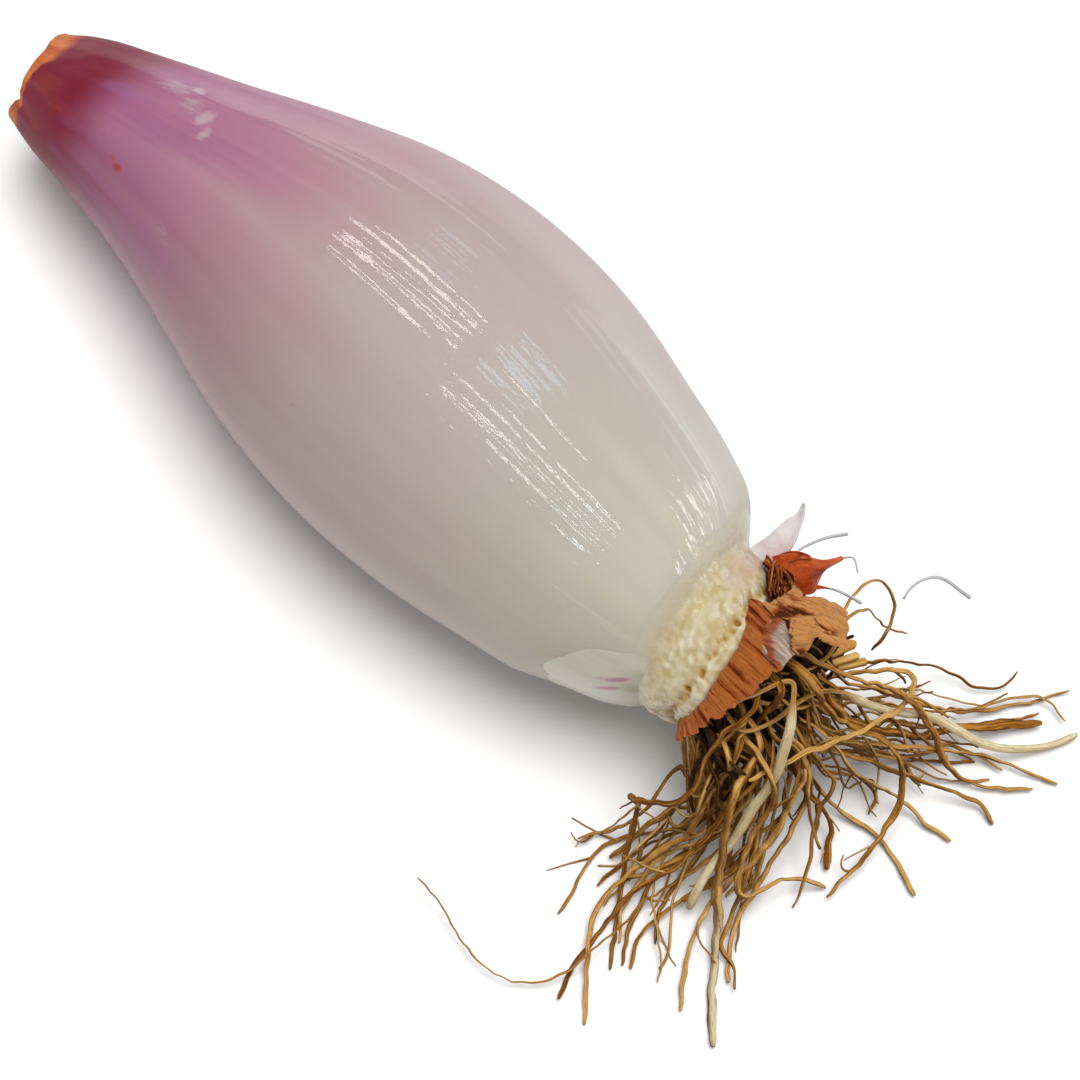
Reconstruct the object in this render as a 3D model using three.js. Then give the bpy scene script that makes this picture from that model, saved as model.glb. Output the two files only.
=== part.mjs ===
// Peeled pink shallot lying on its side: neck towards -X, roots towards +X.
// Millimetres, +Z up. The origin is the middle of the small flat under the belly.
import * as THREE from 'three';

// ---- Driving dimensions ----

const GAP = 0.3; // clearance between neighbouring pieces

// Stations of the bulb from the neck to the root end: x, radius, centre y, centre z.
const BULB_STATIONS = [
  [-56, 5.3, -2.5, 14.5],
  [-52, 6.9, -1.9, 15.3],
  [-45, 8.7, -1.1, 16.4],
  [-36, 11.0, -0.3, 17.5],
  [-26, 14.2, 0.3, 18.3],
  [-14, 17.8, 0.6, 18.9],
  [-2, 19.4, 0.6, 19.1],
  [10, 18.9, 0.4, 19.1],
  [20, 16.9, 0, 18.9],
  [28, 14.9, -0.3, 18.7],
  [34, 12.3, -0.5, 18.5],
  [37, 9.8, -1, 18.3],
  [44, 8.8, -1.6, 18.1],
];
const NECK_TIP = -56;
const NECK_DIMPLE = 1.3; // depth of the hollow inside the dried lip
const BULB_END = 36.9;
const BULB_RINGS = 34;
const BULB_SIDES = 40;

// The end faces stand askew: x shifts by minus this much per millimetre towards +Y.
const NECK_SKEW = 0.2;
const ROOT_SKEW = 0.16;
const NECK_LEAN = 0.16; // and by this much per millimetre upwards at the neck

// Cream stem disc and scale bases between the bulb and the roots: x, radius.
const PLATE_PROFILE = [
  [37.2, 0],
  [37.2, 8.6],
  [38, 9.6],
  [39.6, 9.8],
  [41.4, 9.4],
  [42.6, 8.9],
  [43.7, 8],
  [44.2, 6.9],
  [44.2, 0],
];
const PLATE_FACE = 44.2;
const PLATE_SIDES = 32;

// Skins are curved sheets: inner radius, thickness, and edges as angle, low x, high x.
// Angles run about the bulb's axis in degrees: 0 is +Y, 90 is up, 180 is -Y.
const SKIN_BAND = {
  radius: 9.4,
  thickness: 0.45,
  edge: [
    [30, 43.4, 47.4], [60, 43.4, 48.4], [90, 43.4, 48.4],
    [115, 43.3, 47.2], [140, 43.2, 45.6], [170, 42.9, 44.7],
  ],
};
const SKIN_FLAP = {
  radius: 10.2,
  thickness: 0.45,
  flare: 1.2,
  edge: [[18, 43.4, 49.4], [35, 43.6, 51], [46, 42.8, 52], [56, 42, 49.6], [66, 41.5, 49.2]],
};
const SKIN_FLAP_PALE = {
  radius: 10.2,
  thickness: 0.35,
  flare: 0.4,
  edge: [[69, 44.2, 49], [78, 44.6, 48.8], [87, 46, 48.2]],
};
const SCALE_REMNANT = {
  thickness: 0.5,
  edge: [
    [127, 36.4, 36.9], [134, 34.6, 36.9], [149, 32.2, 36.9],
    [166, 29, 36.9], [200, 30, 36.9], [232, 35.5, 36.9],
  ],
};

const TORN_THINNING = 0.4; // share of the remnant's thickness left at its torn edge

// A tuft of dry fibres beside the flap.
const FIBRE_TUFT = {
  radius: 10.2,
  thickness: 0.5,
  edge: [[26, 40.2, 42.2], [32, 40, 42.5], [38, 40.4, 42.3]],
};

// Pointed blades: a base, a middle and a tip, half the width, and how deep each is cupped.
const SKIN_SPIKE = {
  from: [41.8, 9.4, 21.2],
  middle: [42.8, 12, 21.9],
  to: [43.6, 14.2, 20.6],
  halfWidth: 1.9,
  cup: 0.7,
  thickness: 0.5,
};
const SCALE_TIP = {
  from: [38.2, 9.4, 20.2],
  middle: [38, 12.8, 20.9],
  to: [36.6, 16.2, 19.6],
  halfWidth: 1.5,
  cup: 0.4,
  thickness: 0.6,
};
const SKIN_SHRED = {
  from: [44.4, -12, 17.5],
  middle: [45.4, -13, 12.5],
  to: [46.8, -12.8, 8],
  halfWidth: 1.2,
  cup: 0.3,
  thickness: 0.35,
};
const BLADE_POINT = 0.04; // share of the width left at the tip
const BLADE_THINNING = 0.4; // share of the thickness left at the tip

// Long thin pieces that are not roots: radius at the base and the tip, then points.
const PALE_ROOTLETS = [
  { base: 0.25, tip: 0.18, route: [
    [38.7, 11.6, 18.4], [38.9, 13, 18.4], [39.8, 15.3, 18.5], [41, 17.4, 18],
  ] },
  { base: 0.22, tip: 0.2, route: [
    [48.6, 18, 12.6], [48.4, 19.6, 13], [49.4, 22.4, 12], [52.8, 23.7, 10],
  ] },
  { base: 0.2, tip: 0.15, route: [
    [44.2, 10.8, 18.6], [45.2, 12, 18.2], [46.6, 12.9, 17.6],
  ] },
];

// Roots: radius at the base and the tip, then the points that each one follows.
const ROOTS = [
  // Towards -Y, over and beside the skins.
  { base: 0.5, tip: 0.3, route: [
    [48.5, -2, 24], [47.6, -5, 23], [47.1, -7.5, 22], [46.9, -10.2, 20], [45.9, -12.4, 16],
    [44.2, -13.6, 10], [44, -15.5, 6], [44.6, -17, 3.5], [45.6, -19, 1.8], [46.9, -21.5, 0.8],
    [48.9, -24.5, 0.6], [51.9, -27.5, 0.6],
  ] },
  { base: 0.5, tip: 0.35, route: [
    [48, -4, 20.5], [46.5, -7.5, 17.5], [45.5, -10, 13.5], [44.8, -12, 9], [44.6, -13.5, 6],
    [44, -15.2, 4], [42.9, -16.5, 2], [41.9, -17.5, 1.2], [40.2, -19.8, 0.6],
  ] },
  { base: 0.45, tip: 0.3, route: [
    [49.5, -3.5, 16], [50, -7.5, 10], [49.5, -10.5, 5], [46.8, -12.9, 2.2], [44.9, -15, 1.4],
    [42.9, -18, 0.8], [42.4, -20.5, 0.7], [43.1, -23, 0.6], [44.2, -27, 0.6],
  ] },
  { base: 0.5, tip: 0.35, route: [
    [48.5, -5.5, 17], [47.5, -10, 11], [46, -13, 6.5], [44.5, -14.5, 3.5], [43.8, -16.4, 1.8],
    [43.4, -19, 0.7],
  ] },
  { base: 0.5, tip: 0.3, route: [
    [49, -6.5, 14], [49, -11, 8], [47.5, -13.5, 3.5], [45.8, -15.4, 1.8], [45.1, -18, 0.9],
    [44.9, -22, 0.6],
  ] },
  { base: 0.55, tip: 0.3, route: [
    [50.5, -2.5, 15], [51, -7.5, 9], [50, -12, 4.5], [48.8, -17.4, 1.8], [49.9, -22, 0.8],
    [52.4, -26.5, 0.6],
  ] },
  { base: 0.5, tip: 0.3, route: [
    [52.5, -4.5, 14], [54.5, -10, 7], [53.7, -13.9, 3], [51.9, -19, 1.2], [51.2, -22, 0.8],
    [53.2, -26, 0.6],
  ] },
  { base: 0.6, tip: 0.2, route: [
    [51.5, -3.5, 18], [52, -8.5, 11], [51, -14, 5], [49.2, -17.9, 2.8], [48.8, -21.9, 2],
    [48.9, -26, 1.6], [49.6, -30, 1.4], [47.9, -34, 1.2], [45.4, -36, 1.2], [41.9, -36.5, 1.5],
    [38.3, -35.6, 1.8], [34.5, -34.7, 2.2], [32.2, -34.9, 2.8],
  ] },
  { base: 0.6, tip: 0.25, route: [
    [50.5, -5.5, 16], [50.5, -10.5, 9], [50, -16, 4.2], [48.3, -20.9, 2.2], [48.9, -27, 1],
    [50.4, -33.3, 0.6],
  ] },
  { base: 0.55, tip: 0.4, route: [
    [48.5, -6.5, 19], [48.5, -11, 12], [48, -15.5, 6.5], [47.5, -20, 3.2], [47.6, -24, 1.6],
    [48.9, -27.5, 1], [51.9, -31.7, 0.7], [53.9, -33.3, 0.6],
  ] },
  { base: 0.5, tip: 0.3, route: [
    [51, -6.5, 13], [50, -12.5, 7], [49, -17, 3.5], [49.8, -19.4, 1.8], [52.9, -22, 0.9],
    [55.9, -24, 0.6], [56.2, -25.3, 0.6],
  ] },
  { base: 0.4, tip: 0.3, route: [
    [49, -7.5, 12], [48.5, -12, 6], [47.2, -15.4, 2.8], [46.4, -19, 1.2], [47.4, -23, 0.7],
  ] },
  { base: 0.45, tip: 0.3, route: [
    [50, -8.5, 11], [50.5, -13, 5.5], [50.6, -16.9, 2.2], [51.4, -20.5, 1], [53.4, -22.5, 0.7],
  ] },
  { base: 0.4, tip: 0.3, route: [
    [48, -2.5, 9], [49.5, -6, 4], [51.4, -9, 1.5], [52.9, -11.5, 0.8],
  ] },
  // Towards the middle of the fan.
  { base: 0.5, tip: 0.35, route: [
    [53.5, -2.5, 16], [55, -7.5, 10], [55, -12.5, 5.5], [54, -15.4, 2.8], [54.9, -18.5, 1.4],
    [57.6, -22.8, 0.8], [59.7, -25.8, 0.7],
  ] },
  { base: 0.6, tip: 0.4, route: [
    [48.3, 0.7, 24.6], [48, -1.5, 22.5], [47.8, -3.5, 18.5], [48, -6, 14.4], [49.1, -9, 11.3],
    [50.2, -10.5, 9], [52, -11.5, 7], [53.5, -13.5, 5],
  ] },
  { base: 0.6, tip: 0.55, route: [
    [49.5, -3.5, 19], [50.5, -8.5, 14], [52, -12, 9], [54, -14.5, 5], [56.3, -16.4, 2.5],
    [59.2, -20.3, 1], [61.9, -23.5, 0.8], [64.9, -26.3, 0.7],
  ] },
  { base: 0.5, tip: 0.4, route: [
    [54, -1.5, 12], [56.5, -7, 7], [57.5, -12, 3.2], [57.4, -16, 1.6], [58.9, -18.2, 0.9],
    [61.4, -20.5, 0.6],
  ] },
  { base: 0.5, tip: 0.35, route: [
    [52.5, -5.5, 17], [54.5, -10.5, 10], [56.5, -15, 5.5], [57.5, -12.5, 4], [57.5, -9.5, 3.7],
    [59.8, -7.6, 2.2], [61.5, -6.6, 0.9],
  ] },
  { base: 0.4, tip: 0.3, route: [
    [50, -2.5, 11], [52.5, -6, 5], [53.8, -8.4, 2], [54.9, -10.5, 1], [54.9, -14, 0.7],
  ] },
  { base: 0.3, tip: 0.2, route: [
    [53, -5.5, 10], [55.5, -10, 5], [56.3, -12.9, 2], [57.9, -15.5, 1], [59.7, -17.3, 0.6],
  ] },
  { base: 0.6, tip: 0.5, route: [
    [52, -2.5, 12], [54.5, -2, 6.5], [57.2, -0.9, 2.8], [58.9, -3, 1.6], [60.5, -5, 1],
  ] },
  { base: 0.5, tip: 0.45, route: [
    [52, -0.5, 11], [54, -0.5, 5], [55.8, 0.1, 2], [58.4, 0.8, 1], [60.9, 1.3, 0.8], [63.4, 1, 0.7],
    [68.4, -0.7, 0.7],
  ] },
  { base: 0.55, tip: 0.4, route: [
    [48, 0.5, 24.5], [50, 1.3, 22], [51.5, 1.6, 20], [54.2, 3.3, 16], [56.7, 5.6, 12.5],
    [58.7, 6.5, 10], [60.3, 6, 8], [61.3, 4.7, 6], [62, 3, 4.5], [62.3, 1, 3.2], [62.4, -2, 2.2],
    [62.5, -7.3, 1.2],
  ] },
  { base: 0.4, tip: 0.3, route: [
    [51, 0.5, 9], [54.5, 3, 4], [57.9, 5, 1.6], [60.4, 3.7, 0.9], [59.4, 2.3, 0.7],
  ] },
  // Towards +Y and +X.
  { base: 0.5, tip: 0.4, route: [
    [53.5, 0.5, 14], [58, 3, 7.5], [60, 5, 3.2], [61.9, 6, 1.5], [64.6, 5.5, 0.8], [65.9, 5.3, 0.7],
    [67.2, 6, 0.7],
  ] },
  { base: 0.5, tip: 0.35, route: [
    [54, 0.5, 13], [58.5, 5.5, 6.5], [62.3, 8.9, 2.6], [65.4, 11.5, 1.2], [67.2, 12, 0.8],
    [68.9, 10.7, 0.7],
  ] },
  { base: 0.5, tip: 0.35, route: [
    [48.5, 3.5, 22], [52.5, 7.5, 17], [56.5, 11, 11], [59, 11.5, 7], [60.5, 11, 4.6],
    [61.8, 10.5, 2.6], [64.3, 11, 1.3], [66.9, 13, 0.8], [69.4, 16, 0.7],
  ] },
  { base: 0.5, tip: 0.35, route: [
    [52.5, 1.5, 14], [57.5, 7.5, 8], [60.5, 12, 3.8], [63.3, 14.7, 1.9], [65.9, 15.9, 1],
    [68.4, 17, 0.8], [70.9, 18, 0.7],
  ] },
  { base: 0.4, tip: 0.3, route: [
    [53, 3, 10], [56.5, 7, 4.5], [59.8, 9.5, 1.8], [62.9, 10, 1], [65.9, 13.5, 0.7],
  ] },
  { base: 0.4, tip: 0.3, route: [
    [51.5, 1, 8], [54.5, 5.5, 3.5], [57.9, 9, 1.4], [61.4, 12.5, 0.8], [63.4, 14, 0.7],
  ] },
  { base: 0.75, tip: 0.6, route: [
    [51.5, 2.5, 15], [55.5, 7.5, 9], [59, 12, 5], [61.7, 15.9, 3], [63.8, 19.5, 1.8],
    [65.5, 21.6, 1.2],
  ] },
  { base: 0.5, tip: 0.35, route: [
    [49.5, 4.5, 17], [53, 9.5, 10.5], [56.5, 13.5, 5.5], [58.2, 15.4, 3], [60.6, 18.3, 1.5],
    [62.7, 21.5, 0.9], [65.1, 26.4, 0.7],
  ] },
  { base: 0.3, tip: 0.25, route: [
    [50.5, 5.5, 14], [55.5, 11, 8], [58.5, 15.5, 4], [60.8, 19.5, 2], [62.7, 23.6, 1.2],
    [64.9, 24.4, 0.9], [67.2, 23.7, 0.7],
  ] },
  { base: 0.35, tip: 0.3, route: [
    [52, 4.5, 11], [55.5, 10, 5.5], [58.3, 13.4, 2.5], [60.9, 16.5, 1.2], [64.1, 22.8, 0.7],
  ] },
  { base: 0.3, tip: 0.25, route: [
    [48.5, 6.5, 15], [50.5, 12, 9], [52.5, 16, 4.5], [54.3, 18.6, 2.6], [56.4, 19.6, 1.6],
    [58.7, 19.7, 1.1], [60.5, 22, 0.7], [59.9, 24.2, 0.6],
  ] },
  { base: 0.35, tip: 0.25, route: [
    [50, 6.5, 12], [52.5, 11.5, 7], [54.5, 14.5, 3.5], [56.9, 17, 1.6], [59.9, 19, 0.9],
  ] },
  { base: 0.4, tip: 0.3, route: [
    [48, 5, 9], [50.5, 9, 4.5], [52.3, 12.5, 2], [53.9, 16, 0.9],
  ] },
  // Loops that stand clear of the fan.
  { base: 0.5, tip: 0.35, route: [
    [48, 5.5, 12], [49, 9, 8.5], [50.8, 12.5, 8], [52.6, 14.4, 8.6], [54.5, 14.4, 9.4],
    [55.8, 12.8, 10.2], [56.1, 10.5, 11.3], [55.9, 7.3, 13.5], [55.4, 3.8, 15.5],
    [53.5, -1.6, 17.5], [52, -4.8, 17.5], [51.4, -7, 16.8],
  ] },
  { base: 0.35, tip: 0.3, route: [
    [48, 5.5, 18], [47.2, 9.5, 17.6], [45.6, 11.8, 17.3], [45.2, 14, 17], [45.7, 16.2, 16.5],
    [46.8, 18, 15.6], [48, 17.2, 14.3], [49.1, 15.9, 12.2], [49.7, 14.5, 10.8], [49.4, 13.3, 9],
  ] },
  { base: 0.35, tip: 0.3, route: [
    [48.5, 5.5, 15], [47.5, 9.5, 15.6], [46.4, 12, 15.4], [46.6, 14.2, 14.8], [47.7, 15.2, 13.6],
    [49, 14.8, 11.8], [50, 14.6, 9.8], [50.5, 16.6, 8.8],
  ] },
  // Thick cream roots that have not dried brown.
  { base: 0.7, tip: 0.6, cream: true, route: [
    [47.8, 2.3, 23.5], [48.6, 0.6, 21.8], [49.5, -0.6, 19.5], [51, -2.4, 16], [52, -4.2, 13],
    [52.6, -6.4, 9.5], [53, -9, 6.4], [53.6, -12, 4], [53.2, -17.4, 1.8],
  ] },
  { base: 0.7, tip: 0.5, cream: true, route: [
    [49.5, 3.5, 18], [54, 8, 11.5], [58, 12, 6.5], [61, 14, 4], [64.8, 16.9, 2.4], [67.1, 19, 1.4],
    [68.5, 21.8, 1], [68.9, 23.4, 1],
  ] },
];
const ROOT_SIDES = 6;
const ROOT_STEP = 2.7; // length of root between rings
const FEWEST_STEPS = 6;
const ROOTLET_STEPS = 8;
const SCAR_RADIUS = 6.6; // the roots leave the stem disc inside this circle
const SCAR_LENGTH = 2; // each root starts with a straight piece this long

// Settling: beads along each root push the beads of the others away.
const BEADS_PER_STEP = 4;
const SETTLE_PASSES = 160;
const SETTLE_GAP = 0.42; // a little over GAP, as beads leave hollows between them
const SETTLE_REACH = 2.8; // beads further apart than this along x never touch
const SETTLE_PUSH = 0.3; // share of a shortfall that one pass makes up
const SETTLE_SHARE = [0.2, 0.6, 0.2]; // of a push: the ring before, the ring itself, the ring after
const FLOOR_CLEARANCE = 0.05;
const BAND_MARGIN = 6; // degrees past the ends of the skin band that the roots still keep clear of

// ---- Materials ----

const PAINT = {
  pink: [0xc9a9b3, 0.35],
  cream: [0xd8d2b4, 0.6],
  orange: [0xb9693c, 0.7],
  ochre: [0xc8925a, 0.75],
  pale: [0xcdb49c, 0.7],
  rust: [0xb04818, 0.6],
  blush: [0xd9bfc4, 0.4],
  grey: [0xb5b2b0, 0.6],
  brown: [0x9a7140, 0.85],
  straw: [0xd9cca2, 0.7],
};
const plant = new THREE.Group();

function add(name, geometry, paint) {
  const [color, roughness] = PAINT[paint];
  const mesh = new THREE.Mesh(geometry, new THREE.MeshStandardMaterial({ color, roughness, metalness: 0 }));
  mesh.name = name;
  plant.add(mesh);
}

function toVectors(points) {
  return points.map((point) => new THREE.Vector3(...point));
}

function throughPoints(points) {
  return new THREE.CatmullRomCurve3(points, false, 'centripetal');
}

// ---- The bulb's axis and cross section ----

const stationX = BULB_STATIONS.map(([x]) => x);
const stationRest = BULB_STATIONS.flatMap(([, ...rest]) => rest);
const stations = new THREE.CubicInterpolant(stationX, stationRest, 3, new Float64Array(3));

function section(x) {
  const [radius, y, z] = stations.evaluate(THREE.MathUtils.clamp(x, stationX[0], stationX.at(-1)));
  return { radius, y, z };
}

function skewAt(x) {
  return NECK_SKEW * neckShare(x) + ROOT_SKEW * THREE.MathUtils.smoothstep(x, 30, 38);
}

function neckShare(x) {
  return THREE.MathUtils.smoothstep(-x, 46, 56);
}

// The point at a distance from the axis and an angle about it (radians, 0 is +Y, 90 degrees up).
function aroundAxis(x, radius, angle) {
  const { y, z } = section(x);
  const side = radius * Math.cos(angle);
  const up = radius * Math.sin(angle);
  return new THREE.Vector3(x - skewAt(x) * side + NECK_LEAN * neckShare(x) * up, y + side, z + up);
}

// Turns a lathe about Y, whose height is x along the bulb, on to the bulb's axis.
function onAxis(geometry) {
  const position = geometry.attributes.position;
  for (let i = 0; i < position.count; i++) {
    const up = position.getX(i);
    const side = position.getZ(i);
    const point = aroundAxis(position.getY(i), Math.hypot(up, side), Math.atan2(up, side));
    position.setXYZ(i, point.x, point.y, Math.max(0, point.z));
  }
  return geometry;
}

function bulb() {
  const lip = section(NECK_TIP).radius;
  const profile = [
    new THREE.Vector2(0, NECK_TIP + NECK_DIMPLE),
    new THREE.Vector2(lip * 0.5, NECK_TIP + NECK_DIMPLE * 0.9),
    new THREE.Vector2(lip * 0.8, NECK_TIP + NECK_DIMPLE * 0.2),
  ];
  for (let i = 0; i <= BULB_RINGS; i++) {
    const x = THREE.MathUtils.lerp(NECK_TIP, BULB_END, i / BULB_RINGS);
    profile.push(new THREE.Vector2(section(x).radius, x));
  }
  profile.push(new THREE.Vector2(0, BULB_END));
  return onAxis(new THREE.LatheGeometry(profile, BULB_SIDES));
}

function basalPlate() {
  const profile = PLATE_PROFILE.map(([x, radius]) => new THREE.Vector2(radius, x));
  return onAxis(new THREE.LatheGeometry(profile, PLATE_SIDES));
}

// ---- Sheets: a block of small cells bent into place ----

function sheet(cellsAcross, cellsAlong, place) {
  const geometry = new THREE.BoxGeometry(1, 1, 1, cellsAcross, cellsAlong, 1);
  const position = geometry.attributes.position;
  for (let i = 0; i < position.count; i++) {
    const across = position.getX(i) + 0.5;
    const along = position.getY(i) + 0.5;
    const point = place(across, along, position.getZ(i) + 0.5);
    position.setXYZ(i, point.x, point.y, point.z);
  }
  return geometry;
}

// Low and high x of a skin at a share of its angle, between the stated edge points.
function edgeAt(edge, share) {
  const angle = THREE.MathUtils.lerp(edge[0][0], edge.at(-1)[0], share);
  const next = Math.max(1, edge.findIndex(([stated]) => stated >= angle - 1e-9));
  const [from, to] = [edge[next - 1], edge[next]];
  const part = (angle - from[0]) / (to[0] - from[0]);
  const low = THREE.MathUtils.lerp(from[1], to[1], part);
  const high = THREE.MathUtils.lerp(from[2], to[2], part);
  return [THREE.MathUtils.degToRad(angle), low, high];
}

function skin({ radius, thickness, flare = 0, edge }, cellsAcross, cellsAlong) {
  return sheet(cellsAcross, cellsAlong, (across, along, through) => {
    const [angle, low, high] = edgeAt(edge, across);
    const x = THREE.MathUtils.lerp(low, high, along);
    return aroundAxis(x, radius + flare * along * along + thickness * through, angle);
  });
}

function scaleRemnant() {
  const { thickness, edge } = SCALE_REMNANT;
  return sheet(16, 5, (across, along, through) => {
    const [angle, low, high] = edgeAt(edge, across);
    const x = THREE.MathUtils.lerp(low, high, along);
    const lift = GAP + thickness * through * THREE.MathUtils.lerp(TORN_THINNING, 1, along);
    return aroundAxis(x, section(x).radius + lift, angle);
  });
}

function bladeLine({ from, middle, to }) {
  return new THREE.QuadraticBezierCurve3(...toVectors([from, middle, to]));
}

// A pointed blade from a wide base, cupped across.
function blade({ halfWidth, cup, thickness, ...ends }) {
  const line = bladeLine(ends);
  const across = new THREE.Vector3(halfWidth, 0, 0);
  return sheet(6, 8, (side, along, through) => {
    const centre = line.getPoint(along);
    const half = THREE.MathUtils.lerp(1, BLADE_POINT, along ** 1.5);
    const offset = (side - 0.5) * 2;
    const face = new THREE.Vector3().crossVectors(across, line.getTangent(along)).normalize();
    centre.addScaledVector(across, offset * half);
    const depth = thickness * through * THREE.MathUtils.lerp(1, BLADE_THINNING, along);
    return centre.addScaledVector(face, depth - cup * offset * offset * half);
  });
}

// ---- Roots: a turned taper bent along its points ----

function bentTaper(points, radiusAt) {
  const last = points.length - 1;
  const profile = [new THREE.Vector2(0, 0)];
  points.forEach((_, ring) => profile.push(new THREE.Vector2(radiusAt(ring / last), ring)));
  profile.push(new THREE.Vector2(0, last));
  const geometry = new THREE.LatheGeometry(profile, ROOT_SIDES);
  const frames = carriedFrames(points);
  const position = geometry.attributes.position;
  for (let i = 0; i < position.count; i++) {
    const ring = Math.round(position.getY(i));
    const point = points[ring].clone();
    point.addScaledVector(frames[ring].normal, position.getX(i));
    point.addScaledVector(frames[ring].binormal, position.getZ(i));
    position.setXYZ(i, point.x, point.y, point.z);
  }
  return geometry;
}

// One normal carried along the line with as little turning as it allows.
function carriedFrames(points) {
  let normal = new THREE.Vector3(0, 0, 1);
  return points.map((point, i) => {
    const before = points[Math.max(0, i - 1)];
    const after = points[Math.min(points.length - 1, i + 1)];
    const tangent = after.clone().sub(before).normalize();
    normal = normal.clone().addScaledVector(tangent, -normal.dot(tangent)).normalize();
    return { normal, binormal: new THREE.Vector3().crossVectors(normal, tangent) };
  });
}

function taper(root, share) {
  return THREE.MathUtils.lerp(root.base, root.tip, share);
}

// Scars on the stem disc in a sunflower order, each root taking the free one nearest its route.
function pickScars(roots) {
  const golden = Math.PI * (3 - Math.sqrt(5));
  const free = roots.map((_, i) => {
    const radius = SCAR_RADIUS * Math.sqrt((i + 0.5) / roots.length);
    return aroundAxis(PLATE_FACE + 2 * GAP, radius, i * golden);
  });
  return roots.map(({ route }) => {
    const aim = new THREE.Vector3(...route[0]);
    free.sort((a, b) => a.distanceTo(aim) - b.distanceTo(aim));
    return free.shift();
  });
}

function startRoots() {
  const scars = pickScars(ROOTS);
  return ROOTS.map((root, i) => {
    const outward = new THREE.Vector3(SCAR_LENGTH, SCAR_LENGTH * ROOT_SKEW, 0);
    const curve = throughPoints([scars[i], scars[i].clone().add(outward), ...toVectors(root.route)]);
    const steps = Math.max(FEWEST_STEPS, Math.round(curve.getLength() / ROOT_STEP));
    return { ...root, points: curve.getSpacedPoints(steps) };
  });
}

// Beads every fraction of a step stand for a root while it is pushed clear of the others.
function beadsOf(root, owner) {
  const beads = [];
  const last = root.points.length - 1;
  for (let i = 0; i < last * BEADS_PER_STEP; i++) {
    const step = Math.floor(i / BEADS_PER_STEP);
    const part = (i % BEADS_PER_STEP) / BEADS_PER_STEP;
    const place = root.points[step].clone().lerp(root.points[step + 1], part);
    beads.push({ owner, step, part, place, radius: taper(root, (step + part) / last) });
  }
  beads.push({ owner, step: last - 1, part: 1, place: root.points[last], radius: root.tip });
  return beads;
}

function pushApart(roots, shifts) {
  const beads = roots.flatMap(beadsOf).sort((a, b) => a.place.x - b.place.x);
  const between = new THREE.Vector3();
  for (let i = 0; i < beads.length; i++) {
    for (let j = i + 1; j < beads.length && beads[j].place.x - beads[i].place.x < SETTLE_REACH; j++) {
      const [a, b] = [beads[i], beads[j]];
      if (a.owner === b.owner) continue;
      between.subVectors(b.place, a.place);
      const short = a.radius + b.radius + SETTLE_GAP - between.length();
      if (short <= 0) continue;
      between.setLength(short * SETTLE_PUSH);
      for (const [bead, sign] of [[a, -1], [b, 1]]) {
        shifts[bead.owner][bead.step].addScaledVector(between, sign * (1 - bead.part));
        shifts[bead.owner][bead.step + 1].addScaledVector(between, sign * bead.part);
      }
    }
  }
}

// Keeps a root above the floor, inside the mouth of the skins at first, and outside the bulb's end later.
function keepClear(root) {
  const outside = SKIN_BAND.radius + SKIN_BAND.thickness;
  let inMouth = true;
  root.points.forEach((point, i) => {
    const clearance = taper(root, i / (root.points.length - 1)) + GAP;
    if (i > 1) {
      const { y, z } = section(point.x);
      const side = point.y - y;
      const up = point.z - z;
      const away = Math.hypot(side, up);
      const along = point.x + skewAt(point.x) * side;
      const high = bandMouth(Math.atan2(up, side));
      if (along > high + clearance || along < PLATE_FACE || away > outside) inMouth = false;
      let wanted = away;
      if (inMouth) wanted = Math.min(away, SKIN_BAND.radius - clearance);
      else if (along < high + clearance) wanted = Math.max(away, outside + clearance);
      point.y = y + side * (wanted / away);
      point.z = z + up * (wanted / away);
    }
    point.z = Math.max(point.z, clearance - GAP + FLOOR_CLEARANCE);
  });
}

// Where the skin band ends at an angle, or the face of the stem disc where there is no band.
function bandMouth(angle) {
  const degrees = THREE.MathUtils.euclideanModulo(THREE.MathUtils.radToDeg(angle), 360);
  const [first, last] = [SKIN_BAND.edge[0][0], SKIN_BAND.edge.at(-1)[0]];
  if (degrees < first - BAND_MARGIN || degrees > last + BAND_MARGIN) return PLATE_FACE;
  return edgeAt(SKIN_BAND.edge, THREE.MathUtils.clamp((degrees - first) / (last - first), 0, 1))[2];
}

// The shred of skin stays where it hangs, and the roots settle round it.
function shredObstacle() {
  const reach = SKIN_SHRED.halfWidth + GAP;
  return { base: reach, tip: reach, points: bladeLine(SKIN_SHRED).getSpacedPoints(6) };
}

function settle(roots) {
  const all = [...roots, shredObstacle()];
  for (let pass = 0; pass < SETTLE_PASSES; pass++) {
    const shifts = all.map(({ points }) => points.map(() => new THREE.Vector3()));
    pushApart(all, shifts);
    roots.forEach(({ points }, k) => {
      for (let i = 1; i < points.length; i++) {
        const rings = [i - 1, i, Math.min(points.length - 1, i + 1)];
        rings.forEach((ring, part) => points[i].addScaledVector(shifts[k][ring], SETTLE_SHARE[part]));
      }
    });
    roots.forEach(keepClear);
  }
  return roots;
}

// ---- Assembly ----

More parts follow.
